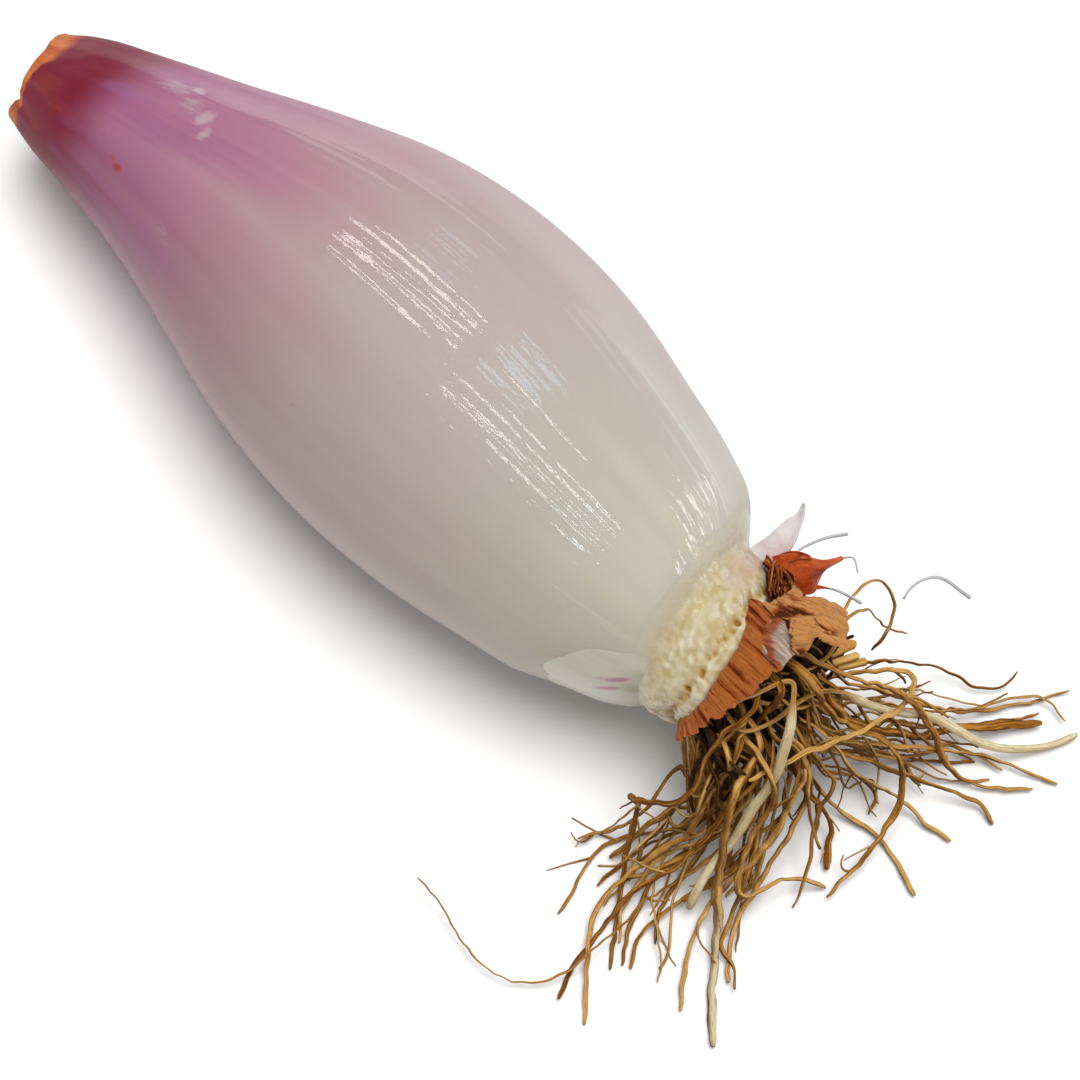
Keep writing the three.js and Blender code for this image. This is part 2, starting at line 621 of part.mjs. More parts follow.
add('bulb', bulb(), 'pink');
add('outer_scale_remnant', scaleRemnant(), 'blush');
add('basal_plate', basalPlate(), 'cream');
add('skin_band', skin(SKIN_BAND, 24, 4), 'orange');
add('skin_flap', skin(SKIN_FLAP, 10, 6), 'ochre');
add('skin_flap_pale', skin(SKIN_FLAP_PALE, 5, 5), 'pale');
add('fibre_tuft', skin(FIBRE_TUFT, 4, 4), 'rust');
add('skin_spike', blade(SKIN_SPIKE), 'rust');
add('scale_tip', blade(SCALE_TIP), 'blush');
add('skin_shred', blade(SKIN_SHRED), 'orange');
PALE_ROOTLETS.forEach((rootlet, i) => {
  const points = throughPoints(toVectors(rootlet.route)).getSpacedPoints(ROOTLET_STEPS);
  add(`rootlet_${i + 1}`, bentTaper(points, (share) => taper(rootlet, share)), 'grey');
});
settle(startRoots()).forEach((root, i) => {
  const name = `root_${String(i + 1).padStart(2, '0')}`;
  add(name, bentTaper(root.points, (share) => taper(root, share)), root.cream ? 'straw' : 'brown');
});

export default plant;
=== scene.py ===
"""Looks of a peeled pink shallot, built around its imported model.

Lengths are millimetres in the part's own frame: +X from the neck to the roots, +Z up.
Angles run about the bulb's axis in degrees: 0 is +Y, 90 is up, 180 is -Y.
A part of a mesh is its points, its faces and its values per point.
"""
import math
from functools import reduce

import bpy
import numpy as np
from mathutils import Matrix, Vector, noise


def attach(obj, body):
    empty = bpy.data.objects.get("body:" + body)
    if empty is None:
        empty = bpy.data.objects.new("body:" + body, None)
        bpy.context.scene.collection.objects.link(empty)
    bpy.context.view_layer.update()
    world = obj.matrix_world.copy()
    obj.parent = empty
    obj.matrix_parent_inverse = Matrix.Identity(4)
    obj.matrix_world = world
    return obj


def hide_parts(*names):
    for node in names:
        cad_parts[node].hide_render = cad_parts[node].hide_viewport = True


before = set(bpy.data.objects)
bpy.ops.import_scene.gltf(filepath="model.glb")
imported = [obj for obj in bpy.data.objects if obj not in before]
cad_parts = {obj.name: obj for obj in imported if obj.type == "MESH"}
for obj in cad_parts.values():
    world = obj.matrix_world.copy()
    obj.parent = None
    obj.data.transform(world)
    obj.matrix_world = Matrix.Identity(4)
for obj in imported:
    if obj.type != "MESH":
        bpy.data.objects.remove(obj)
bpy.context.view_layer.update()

MM = 0.001
TURN = 2 * math.pi
BODY = "root"
rng = np.random.default_rng(11)


# ---- Numbers ----

def smoothstep(low, high, value):
    share = np.clip((value - low) / (high - low), 0, 1)
    return share * share * (3 - 2 * share)


def xyz(x, y, z):
    """Points from coordinates that broadcast together."""
    return np.stack(np.broadcast_arrays(x, y, z), axis=-1)


def circle(degrees, radius=1.0):
    """How far to the side and up the points of a circle lie."""
    angle = np.radians(degrees)
    return radius * np.cos(angle), radius * np.sin(angle)


def off(degrees, angle):
    """How far round from an angle, -180 to 180."""
    return (degrees - angle + 180) % 360 - 180


def arc_of(degrees, radius):
    return degrees * radius * math.pi / 180


def unit(vectors):
    return vectors / (np.linalg.norm(vectors, axis=-1, keepdims=True) + 1e-9)


def rough(points, scale, seed=0.0):
    """Smooth noise from -1 to 1 at each point."""
    shift = Vector((seed, seed * 1.7, seed * 0.6))
    values = [noise.noise(Vector(point) * scale + shift) for point in points.reshape(-1, 3)]
    return np.array(values).reshape(points.shape[:-1])


def creased(points, scale, seed=0.0):
    """Noise from -1 to 1 with sharp ridges."""
    return 1 - 2.6 * np.abs(rough(points, scale, seed))


def along_curve(table, places):
    """Rows of the table at fractional places, on a smooth curve through them."""
    last = len(table) - 1
    whole = np.clip(np.floor(places).astype(int), 0, last - 1)
    part = (places - whole)[:, None]
    before, here, after, beyond = (table[np.clip(whole + step, 0, last)] for step in (-1, 0, 1, 2))
    bend = 2 * before - 5 * here + 4 * after - beyond
    return 0.5 * (2 * here + (after - before) * part + bend * part ** 2
                  + (3 * here - before - 3 * after + beyond) * part ** 3)


def shares(along, across):
    """The share along and the rise across at each place of a grid."""
    return np.meshgrid(np.linspace(0, 1, along), np.linspace(0, 1, across))


def between(edge_a, edge_b, along, across):
    """A grid from one edge to another, with its shares."""
    a, b = (along_curve(np.array(edge, float), np.linspace(0, len(edge) - 1, along)) for edge in (edge_a, edge_b))
    share, rise = shares(along, across)
    return a[None] + (b - a)[None] * rise[..., None], share, rise


# ---- Meshes ----

def quads(rows, columns, wraps, first=0):
    """Faces between neighbouring rows of points, as a list of corner numbers."""
    row = np.arange(rows - 1)[:, None] * columns
    here = np.arange(columns if wraps else columns - 1)[None, :]
    after = (here + 1) % columns
    corners = np.stack([row + here, row + after, row + columns + after, row + columns + here], axis=-1)
    return (corners.reshape(-1, 4) + first).tolist()


def listed(value, shape):
    """A value at each point of a grid, as one long list."""
    value = np.asarray(value, float)
    return np.broadcast_to(value, shape + value.shape[2:]).reshape(-1, *value.shape[2:])


def closed(rows, start, end, **values):
    """A closed body: loops of points between two poles."""
    count, around = rows.shape[:2]
    last = count * around
    faces = [[0, 1 + (k + 1) % around, 1 + k] for k in range(around)]
    faces += quads(count, around, True, 1)
    faces += [[last + 1, last - around + 1 + k, last - around + 1 + (k + 1) % around] for k in range(around)]
    values = {key: listed(value, (count, around)) for key, value in values.items()}
    return (np.vstack([[start], rows.reshape(-1, 3), [end]]), faces,
            {key: np.concatenate([value[:1], value, value[-1:]]) for key, value in values.items()})


def normals_of(rows):
    return unit(np.cross(np.gradient(rows, axis=1), np.gradient(rows, axis=0)))


def shell(rows, thickness, **values):
    """A thin closed sheet under a grid of points."""
    count, across = rows.shape[:2]
    under = rows - normals_of(rows) * thickness
    faces = quads(count, across, False) + [face[::-1] for face in quads(count, across, False, count * across)]
    grid = np.arange(count * across).reshape(count, across)
    rim = np.concatenate([grid[0], grid[1:, -1], grid[-1, -2::-1], grid[-2:0:-1, 0]])
    ahead = np.roll(rim, -1)
    faces += np.stack([ahead, rim, rim + count * across, ahead + count * across], axis=1).tolist()
    values = {key: listed(value, (count, across)) for key, value in values.items()}
    return (np.vstack([rows.reshape(-1, 3), under.reshape(-1, 3)]), faces,
            {key: np.concatenate([value, value]) for key, value in values.items()})


def joined(parts):
    """One part from several."""
    points, faces, values, first = [], [], {}, 0
    for part_points, part_faces, part_values in parts:
        points.append(part_points)
        faces += [[corner + first for corner in face] for face in part_faces]
        first += len(part_points)
        for key, value in part_values.items():
            values.setdefault(key, []).append(value)
    return np.vstack(points), faces, {key: np.concatenate(value) for key, value in values.items()}


def mesh_piece(name, part, material, slot, *replaced):
    """A smooth piece from a part or a list of parts."""
    points, faces, values = joined(part) if isinstance(part, list) else part
    mesh = bpy.data.meshes.new(name)
    mesh.from_pydata((points * MM).tolist(), [], faces)
    for key, value in values.items():
        vector = value.ndim == 2
        attribute = mesh.attributes.new(key, "FLOAT_VECTOR" if vector else "FLOAT", "POINT")
        attribute.data.foreach_set("vector" if vector else "value", value.astype(np.float32).ravel())
    mesh.shade_smooth()
    mesh.materials.append(material)
    piece = placed(name, mesh)
    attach(piece, BODY)
    if replaced:
        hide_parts(*replaced)


def placed(name, data):
    """A new object in the scene."""
    thing = bpy.data.objects.new(name, data)
    bpy.context.scene.collection.objects.link(thing)
    return thing


# ---- What the frame says ----

def rings_of(node, near):
    """The rings of points of a turned or swept node without its poles, from the end closest to a point."""
    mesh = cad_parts[node].data
    corners = np.array([vertex.co for vertex in mesh.vertices]) / MM
    points, same = np.unique(np.round(corners, 3), axis=0, return_inverse=True)
    same = same.ravel()
    beside = [set() for _ in points]
    for edge in mesh.edges:
        a, b = same[edge.vertices[0]], same[edge.vertices[1]]
        if a != b:
            beside[a].add(b)
            beside[b].add(a)
    poles = [i for i, others in enumerate(beside) if all(len(beside[j]) == 5 for j in others)]
    rings = [[min(poles, key=lambda i: np.linalg.norm(points[i] - near))]]
    seen = set(rings[0])
    while True:
        reached = {j for i in rings[-1] for j in beside[i]} - seen
        if not reached:
            return [points[ring] for ring in rings[1:-1]]
        seen |= reached
        rings.append(sorted(reached))


def fit_ring(ring):
    """A ring's centre x, y, z and radius, and how far x moves per millimetre sideways and up."""
    free = ring[ring[:, 2] > 0.01]
    x, y, z = free.T
    ones = np.ones(len(free))
    side, up, rest = np.linalg.lstsq(np.c_[2 * y, 2 * z, ones], y * y + z * z, rcond=None)[0]
    middle, skew, lean = np.linalg.lstsq(np.c_[ones, y - side, z - up], x, rcond=None)[0]
    return [middle, side, up, math.sqrt(rest + side * side + up * up), skew, lean]


NECK_SIDE = np.array([-60.0, 0, 15])
bulb_rings, plate_rings = (np.array([fit_ring(ring) for ring in rings_of(node, NECK_SIDE)])
                           for node in ("bulb", "basal_plate"))
body_rings = bulb_rings[int(np.argmin(bulb_rings[:, 0])):]  # from the outermost ring at the neck
bulb_rows = along_curve(body_rings, np.linspace(0, len(body_rings) - 1, 400))
axis_rings = np.vstack([bulb_rows, plate_rings[plate_rings[:, 0] > body_rings[-1, 0] + 0.5]])
NECK_X = body_rings[0, 0]
DISC_X = plate_rings[:, 0].max()
DISC_CENTRE = np.array([DISC_X, *plate_rings[-1, 1:3]])
# How far the base is drawn in on its low side: x, amount.
BASE_TUCK = [(26, 0.0), (29, 0.45), (32, 0.75), (35, 1.2), (37, 1.45), (40, 2.1), (43.5, 2.7)]
LOW_SIDE, LOW_WIDTH = 190, 40  # its angle about the axis and how far round it reaches
DRAWN_BACK = 1.8  # how far the rim of the disc lies back on the low side


def ring_at(x, column):
    return np.interp(x, axis_rings[:, 0], axis_rings[:, column])


def low_side(degrees):
    return np.exp(-(off(degrees, LOW_SIDE) / LOW_WIDTH) ** 2)


def tuck(x, degrees):
    return np.interp(x, *np.array(BASE_TUCK).T) * low_side(degrees)


def about_axis(x, radius, degrees):
    """Points at a distance from the bulb's axis and an angle about it, sharing its askew end faces."""
    outer = smoothstep(1.0, 9.0, radius)
    side, up = circle(degrees, radius - tuck(x, degrees) * outer)
    x = x - DRAWN_BACK * smoothstep(37, 43, x) * low_side(degrees) * outer
    return xyz(x + ring_at(x, 4) * side + ring_at(x, 5) * up, ring_at(x, 1) + side, ring_at(x, 2) + up)


# ---- Node trees ----

def srgb(red, green, blue):
    """A colour written 0 to 255, as the shader wants it."""
    levels = [c / 255 for c in (red, green, blue)]
    return tuple(c / 12.92 if c <= 0.04045 else ((c + 0.055) / 1.055) ** 2.4 for c in levels) + (1.0,)


class Shader:
    """A material with short calls for its nodes; each call gives back the output to use next."""

    def __init__(self, name):
        self.material = bpy.data.materials.new(name)
        self.material.use_nodes = True
        self.tree = self.material.node_tree
        self.surface = self.tree.nodes["Principled BSDF"]

    def put(self, value, socket):
        """Links another node's output to a socket, or sets the socket's value."""
        if isinstance(value, bpy.types.NodeSocket):
            self.tree.links.new(value, socket)
        elif value is not None:
            socket.default_value = value

    def add(self, kind, inputs=None, **settings):
        node = self.tree.nodes.new("ShaderNode" + kind)
        for key, value in settings.items():
            setattr(node, key, value)
        for key, value in (inputs or {}).items():
            self.put(value, node.inputs[key])
        return node

    def value(self, name, output="Fac"):
        return self.add("Attribute", attribute_name=name).outputs[output]

    def place(self):
        return self.add("TexCoord").outputs["Object"]

    def noise(self, vector, scale, detail=2.0, roughness=0.5):
        """Noise at one scale, or at three along the axes."""
        if isinstance(scale, tuple):
            vector = self.add("VectorMath", {0: vector, 1: scale}, operation="MULTIPLY").outputs[0]
            scale = 1.0
        inputs = {"Vector": vector, "Scale": scale, "Detail": detail, "Roughness": roughness}
        return self.add("TexNoise", inputs).outputs["Fac"]

    def maths(self, operation, a, b=None, clamp=False):
        return self.add("Math", {0: a, 1: b}, operation=operation, use_clamp=clamp).outputs[0]

    def plus(self, *terms):
        return reduce(lambda a, b: self.maths("ADD", a, b), terms)

    def times(self, *factors):
        return reduce(lambda a, b: self.maths("MULTIPLY", a, b), factors)

    def between(self, value, low, high, to_low=0.0, to_high=1.0):
        inputs = {"Value": value, "From Min": low, "From Max": high, "To Min": to_low, "To Max": to_high}
        return self.add("MapRange", inputs, interpolation_type="SMOOTHSTEP").outputs[0]

    def ramp(self, value, stops):
        """Stops are (place, (red, green, blue))."""
        node = self.add("ValToRGB", {0: value})
        elements = node.color_ramp.elements
        while len(elements) < len(stops):
            elements.new(1.0)
        for element, (place, colour) in zip(elements, stops):
            element.position = place
            element.color = srgb(*colour)
        return node.outputs["Color"]

    def mix(self, share, a, b, blend="MIX"):
        """Colours are outputs or (red, green, blue)."""
        node = self.add("Mix", data_type="RGBA", blend_type=blend)
        for place, value in ((0, share), (6, a), (7, b)):
            self.put(srgb(*value) if isinstance(value, tuple) else value, node.inputs[place])
        return node.outputs[2]

    def layers(self, colour, *coats):
        """A colour under coats of (share, colour)."""
        for share, coat in coats:
            colour = self.mix(share, colour, coat)
        return colour

    def bump(self, height, millimetres):
        return self.add("Bump", {"Height": height, "Distance": millimetres * MM, "Strength": 1.0}).outputs[0]

    def finish(self, colour, roughness, normal, **others):
        inputs = {"Base_Color": colour, "Roughness": roughness, "Normal": normal, "Subsurface_Scale": 1.0,
                  **others}
        for key, value in inputs.items():
            self.put(value, self.surface.inputs[key.replace("_", " ")])
        return self.material


# ---- Bulb ----

BULB_SIDES = 300
BULB_ROWS = 250
RIM_RADIUS = 0.6  # of the rolled edge of the dried neck
NECK_DEPTH = 3.2  # of the hollow inside the neck
NECK_ROWS = 26
COLOUR_LENGTH = 93.0  # from the neck to where the last colour of the ramps lies
# How far the torn edge of the neck stands out, by angle.
NECK_EDGE = [(0, -0.2), (30, -0.1), (57, -0.15), (76, -0.45), (100, -0.35), (118, -0.4), (133, -0.7), (146, -1.1),
             (163, -0.5), (180, -0.15), (205, -0.35), (240, 0.0), (270, -0.4), (300, 0.0), (330, -0.3),
             (360, -0.2)]
# How wide the dry orange edge of the neck is, by angle.
NECK_ORANGE = [(0, 1.5), (30, 1.9), (60, 2.3), (85, 1.7), (100, 0.6), (112, 0.25), (126, 0.15), (142, 0.1),
               (158, 0.5), (170, 1.3), (186, 1.7), (230, 1.1), (270, 1.5), (320, 1.2), (360, 1.5)]
# Marks: distance from the neck, angle, size along, size around, strength.
PALE_PATCHES = [(16.6, 70, 3.4, 10, 0.75), (20.0, 78, 2.6, 10, 0.7), (22.6, 82, 1.2, 8, 0.95),
                (24.2, 90, 0.9, 6, 0.9), (19.0, 66, 1.2, 6, 0.9), (28.0, 139, 3.0, 8, 0.5),
                (26.0, 255, 4.0, 12, 0.5)]
RED_MARKS = [(18.6, 130.5, 0.75, 3.0, 1.0), (17.4, 128, 0.9, 4.0, 0.55), (14.9, 184, 2.0, 5, 0.9),
             (7.5, 125, 4.0, 8, 0.5), (5.0, 150, 3.0, 10, 0.5), (33.5, 118, 0.3, 1.0, 0.6),
             (45.0, 122, 0.3, 1.0, 0.5), (52.0, 143, 0.3, 1.1, 0.6), (60.0, 160, 0.3, 1.1, 0.5),
             (38.0, 60, 0.3, 1, 0.4)]
# The skin's colours from the neck to the base, along its top and its sides.
TOP_COLOURS = [
    (0.0, (134, 44, 60)), (0.06, (138, 52, 74)), (0.11, (150, 84, 112)), (0.18, (164, 104, 132)),
    (0.27, (168, 112, 136)), (0.36, (172, 127, 142)), (0.46, (175, 146, 151)), (0.55, (177, 158, 156)),
    (0.68, (178, 165, 159)), (0.84, (179, 172, 162)), (0.93, (186, 181, 169)), (1.0, (192, 185, 166))]
SIDE_COLOURS = [
    (0.0, (134, 50, 56)), (0.06, (140, 56, 70)), (0.12, (148, 80, 106)), (0.2, (162, 110, 134)),
    (0.36, (175, 140, 153)), (0.55, (185, 165, 169)), (0.75, (190, 178, 177)), (0.9, (195, 190, 184)),
    (1.0, (193, 186, 168))]


def by_angle(table, degrees):
    """A smooth value round the axis through (angle, value) points."""
    angles, values = np.array(table).T
    place = np.interp(degrees % 360, angles, np.arange(len(angles)))
    whole = np.floor(place)
    part = place - whole
    return np.interp(whole + part * part * (3 - 2 * part), np.arange(len(angles)), values)


def marks_at(marks, along, degrees):
    """How strongly each point is covered by soft oval marks."""
    cover = np.zeros(along.shape)
    for centre, angle, length, width, strength in marks:
        away = off(degrees, angle) / width
        cover = np.maximum(cover, strength * np.exp(-((along - centre) / length) ** 2 - away ** 2))
    return cover


def bulb_wall(degrees):
    """Rows of the bulb's outside: what the rings say, how far each lies from the neck, and its radii."""
    share = np.linspace(0, 1, BULB_ROWS)
    table = along_curve(body_rings, (len(body_rings) - 1) * (0.75 * share + 0.25 * share ** 2))
    along = table[:, :1] - NECK_X
    spot = xyz(*circle(degrees), along * 0.012)
    veins = 0.008 * rough(spot, 3.0)
    folds = 0.22 * rough(spot * [1, 1, 2.0], 2.6, 9) + 0.04 * rough(spot * [1, 1, 2.5], 6.5, 13)
    return table, along, table[:, 3:4] + veins + folds * np.exp(-along / 9)


def neck_inside(degrees, lip_radius):
    """Rings inside the neck, from the middle outwards: radius and depth."""
    share = np.linspace(0.04, 1, NECK_ROWS)[:, None]
    layers = 0.42 * np.sin(share * 5.2 * TURN) * (share < 0.93)
    wobble = 0.3 * np.sin(3 * np.radians(degrees) + 5 * share) * share
    return share * (lip_radius - 2 * RIM_RADIUS), NECK_DEPTH * (1 - share ** 6) + layers + wobble


def make_bulb(material):
    degrees = np.arange(BULB_SIDES) * 360 / BULB_SIDES
    table, along, wall = bulb_wall(degrees)
    inside_radius, inside_depth = neck_inside(degrees, wall[0])
    roll = np.linspace(0, math.pi, 7)[-2:0:-1, None]
    within = NECK_ROWS + len(roll)
    radii = np.vstack([inside_radius, wall[0] - RIM_RADIUS * (1 - np.cos(roll)), wall])
    depths = np.vstack([inside_depth, -RIM_RADIUS * np.sin(roll) + 0 * wall[:1], along + 0 * wall])
    rows = np.vstack([np.repeat(table[:1], within, axis=0), table])
    distance = np.clip(depths, 0, None)
    x = depths + NECK_X - by_angle(NECK_EDGE, degrees) * np.exp(-distance / 4.5)
    side, up = circle(degrees, radii - tuck(x, degrees))
    points = xyz(x + rows[:, 4:5] * side + rows[:, 5:6] * up, rows[:, 1:2] + side, rows[:, 2:3] + up)
    points[..., 2] = np.clip(points[..., 2], 0, None)
    distance[:within] = 0
    inside = np.concatenate([np.ones(NECK_ROWS), np.linspace(0.9, 0.1, len(roll)), np.zeros(BULB_ROWS)])
    part = closed(points, points[0].mean(0), points[-1].mean(0), along=distance, inside=inside[:, None],
                  polar=xyz(*circle(degrees), distance / 100),
                  orange=1 - smoothstep(0.55, 1.25, distance / by_angle(NECK_ORANGE, degrees)),
                  pale=marks_at(PALE_PATCHES, distance, degrees), red=marks_at(RED_MARKS, distance, degrees))
    mesh_piece("bulb_body", part, material, "bulb_skin", "bulb")


def bulb_material():
    s = Shader("shallot_skin")
    polar = s.value("polar", "Vector")
    along, orange, inside = s.value("along"), s.value("orange"), s.value("inside")
    across, upper = s.add("SeparateXYZ", {0: polar}).outputs[:2]
    wide = s.noise(polar, (2.6, 2.6, 2.2), 1.0)
    streak = s.noise(polar, (6.5, 6.5, 2.6), 2.0, 0.55)
    fine = s.noise(polar, (24, 24, 4.5), 2.0, 0.6)
    blotch = s.noise(polar, (2.6, 2.6, 12), 3.0, 0.6)
    violet = s.noise(polar, (3.4, 3.4, 11), 1.0)
    scorch = s.noise(polar, (3.0, 3.0, 14), 2.0)
    ragged = s.noise(polar, (20, 20, 70), 4.0, 0.7)

    sway = s.plus(s.times(s.maths("SUBTRACT", wide, 0.5), 22.0), s.times(s.maths("SUBTRACT", streak, 0.5), 14.0))
    reach = s.plus(along, s.times(sway, s.between(along, 0.0, 30.0, 0.2, 1.0)))
    share = s.maths("DIVIDE", reach, COLOUR_LENGTH, clamp=True)
    sideways = s.between(s.maths("ABSOLUTE", across), 0.3, 0.95)
    below = s.between(s.times(upper, -1.0), 0.0, 0.6)
    colour = s.mix(s.maths("MAXIMUM", sideways, below), s.ramp(share, TOP_COLOURS), s.ramp(share, SIDE_COLOURS))
    # Painted shade: the skin turned toward -Y and below is multiplied darker, as if shaded on that side.
    low_side_shade = s.mix(s.between(along, 18.0, 56.0), (224, 205, 211), (231, 226, 216))
    colour = s.mix(s.between(across, -0.25, -0.95), colour, low_side_shade, "MULTIPLY")
    rim = s.ramp(blotch, [(0.35, (168, 76, 42)), (0.5, (192, 102, 54)), (0.65, (206, 124, 72))])
    hollow = s.ramp(s.noise(s.place(), 900.0, 3.0),
                    [(0.3, (70, 34, 22)), (0.55, (128, 72, 42)), (0.75, (170, 116, 70))])
    colour = s.layers(
        colour,
        (s.times(s.between(streak, 0.5, 0.7), s.between(along, 6.0, 58.0, 0.55, 0.0)), (152, 84, 124)),
        (s.times(s.between(fine, 0.54, 0.7), s.between(along, 4.0, 70.0, 0.1, 0.02)), (150, 92, 118)),
        (s.times(s.between(along, 8.0, 15.0, 1.0, 0.0), s.between(blotch, 0.28, 0.5, 0.75, 1.0)), (118, 27, 48)),
        (s.times(s.between(violet, 0.5, 0.7, 0.0, 0.45), s.between(along, 7.0, 32.0, 1.0, 0.0),
                 s.between(along, 7.0, 12.0)), (142, 94, 140)),
        (s.times(s.between(scorch, 0.52, 0.68, 0.0, 0.3), s.between(along, 3.0, 12.0, 1.0, 0.0)), (146, 62, 46)),
        (s.between(s.plus(s.value("pale"), s.times(ragged, 0.9)), 0.85, 1.35, 0.0, 0.72), (184, 164, 170)),
        (s.between(s.plus(s.value("red"), s.times(ragged, 0.5)), 0.5, 1.2, 0.0, 0.85), (150, 54, 46)),
        (orange, rim), (inside, hollow))

    ridges, wobble = s.noise(polar, (22, 22, 3.6), 0.0), s.noise(polar, (10, 10, 14))
    ripple = s.noise(polar, (40, 40, 90))
    topmost = s.plus(upper, s.between(along, 62.0, 76.0, 0.0, 0.14))
    ridged = s.times(s.between(topmost, 0.84, 0.93), s.between(along, 28.0, 42.0, 0.04, 1.0))
    height = s.times(s.plus(ridges, s.times(wobble, 0.5), s.times(ripple, 0.15)), ridged)
    gloss = s.times(s.between(topmost, 0.76, 0.92, 0.3, 1.0), s.between(along, 3.0, 24.0, 0.25, 1.0),
                    s.between(across, 0.55, 0.95, 1.0, 0.25))
    dry = s.between(s.maths("MAXIMUM", orange, inside), 0.0, 1.0, 0.5, 0.7)
    return s.finish(colour, dry, s.bump(height, 0.02), Coat_Weight=gloss, Coat_Normal=s.bump(height, 0.22),
                    Coat_Roughness=0.05, Coat_IOR=1.45, Specular_IOR_Level=0.08, Subsurface_Weight=0.12,
                    Subsurface_Radius=(0.003, 0.0016, 0.0014))


# ---- Collar: scale bases, pits and the stem disc ----

COLLAR_SIDES = 380
COLLAR_START = 33.2
COLLAR_STEP = 0.11  # between its rows
COLLAR_RADIUS = 9.8
NUB_STEP = 0.74  # between the small bumps of the scale bases
PIT_X = 41.8
PIT_STEP = 0.85
DISC_ROWS = 26
# The collar's outline: x, radius.
COLLAR_PROFILE = [(36.6, 10.12), (37.2, 9.92), (38.0, 9.86), (39.4, 9.8), (40.6, 9.6),
                  (41.5, 9.35), (42.4, 9.2), (43.2, 8.9), (43.9, 8.3), (44.2, 7.6)]


def bumps_on(x, degrees, radius, centres, long, wide):
    """Soft bumps about the axis, 1 high; centres are (x, degrees, scale) rows."""
    lift = np.zeros(x.shape)
    for cx, turn, scale in centres:
        rows = np.abs(x[:, 0] - cx) < 3 * long * scale
        away = np.radians(off(degrees[rows], turn)) * radius[rows]
        near = ((x[rows] - cx) / long) ** 2 + (away / wide) ** 2
        lift[rows] += scale * np.exp(-near / scale ** 2)
    return lift


def lattice(low, high, step, radius, jitter):
    """Jittered rows of places round the collar: x, degrees, scale."""
    places = []
    for row, x in enumerate(np.arange(low, high, step * 0.86)):
        around = int(TURN * radius / step)
        for k in range(around):
            turn = (k + 0.5 * (row % 2) + rng.uniform(-jitter, jitter)) * 360 / around
            places.append((x + rng.uniform(-jitter, jitter) * step, turn, rng.uniform(0.55, 1.25)))
    return places


def make_collar(material):
    x, turned = np.meshgrid(np.arange(COLLAR_START, DISC_X, COLLAR_STEP),
                            np.arange(COLLAR_SIDES) * 360 / COLLAR_SIDES, indexing="ij")
    spot = xyz(x, *circle(turned, COLLAR_RADIUS))
    start = 35.4 + 0.5 * circle(turned - 190)[0] + 0.7 * rough(spot, 0.4, 2)
    risen = smoothstep(start - 0.4, start + 3.6, x)
    bulb_radius = ring_at(x, 3) - 0.1 + 0.16 * smoothstep(start - 1.8, start + 0.6, x)
    outline = np.interp(x, *np.array(COLLAR_PROFILE).T)
    radius = bulb_radius + (outline - bulb_radius) * smoothstep(36.2, 37.2, x)
    calm = smoothstep(62, 30, np.abs(off(turned, 20))) * smoothstep(41.5, 39.5, x) * smoothstep(36.6, 38.4, x)
    bold = (0.65 + 0.5 * rough(spot, 0.5, 4)) * (1 - 0.75 * calm)
    nubs = bumps_on(x, turned, radius, lattice(35.0, 41.2, NUB_STEP, 9.9, 0.5), 0.4, 0.36)
    beyond = bumps_on(x, turned, radius, lattice(42.3, 43.7, 0.9, 9.2, 0.35), 0.42, 0.36)
    pits = [(PIT_X + rng.uniform(-0.3, 0.3), turn + rng.uniform(-4, 4), rng.uniform(0.5, 1.1))
            for turn in np.arange(0, 360, 360 * PIT_STEP / (TURN * 9.3))]
    pit = bumps_on(x, turned, radius, pits, 0.36, 0.3)
    furrow = np.exp(-((x - PIT_X - 0.4 * rough(spot, 0.8, 6)) / 0.45) ** 2)
    lift = 0.19 * nubs * risen * bold + 0.2 * beyond
    radius = radius + lift + (0.25 * rough(spot, 0.45, 3) + 0.08 * rough(spot, 2.2, 5)) * risen
    radius = radius - 0.34 * pit - 0.16 * furrow
    pit = np.maximum(pit, furrow * (0.45 + 0.5 * rough(spot, 1.6, 11)))
    wall = about_axis(x, radius, turned)

    share = np.linspace(1, 0.02, DISC_ROWS)[1:, None]
    disc_radius = radius[-1] * share
    disc_x = DISC_X + 0.9 * (1 - share ** 2) + 0.35 * rough(xyz(*circle(turned[0], disc_radius), 0), 0.9, 8)
    disc = about_axis(disc_x, disc_radius, turned[:1])
    # Painted shadow: a near-black patch on the collar under the tuft of fibres, for the shade between the strands.
    tuft_shade_edge = 38.9 + 0.11 * (turned - 18) + 0.3 * rough(spot, 1.5, 9)
    scar = smoothstep(2, 10, turned) * smoothstep(60, 53, turned) * smoothstep(tuft_shade_edge - 0.3, tuft_shade_edge + 0.4, x)
    values = {"lift": (lift, 0), "pit": (pit, 0), "blush": (calm, 0), "scar": (scar, 0), "along": (x, disc_x),
              "disc": (smoothstep(43.0, 44.2, x), 1)}
    values = {key: np.vstack([value, on_disc + 0 * disc_x]) for key, (value, on_disc) in values.items()}
    part = closed(np.vstack([wall, disc]), wall[0].mean(0), disc[-1].mean(0), **values)
    mesh_piece("collar", part, material, "collar_flesh", "basal_plate")


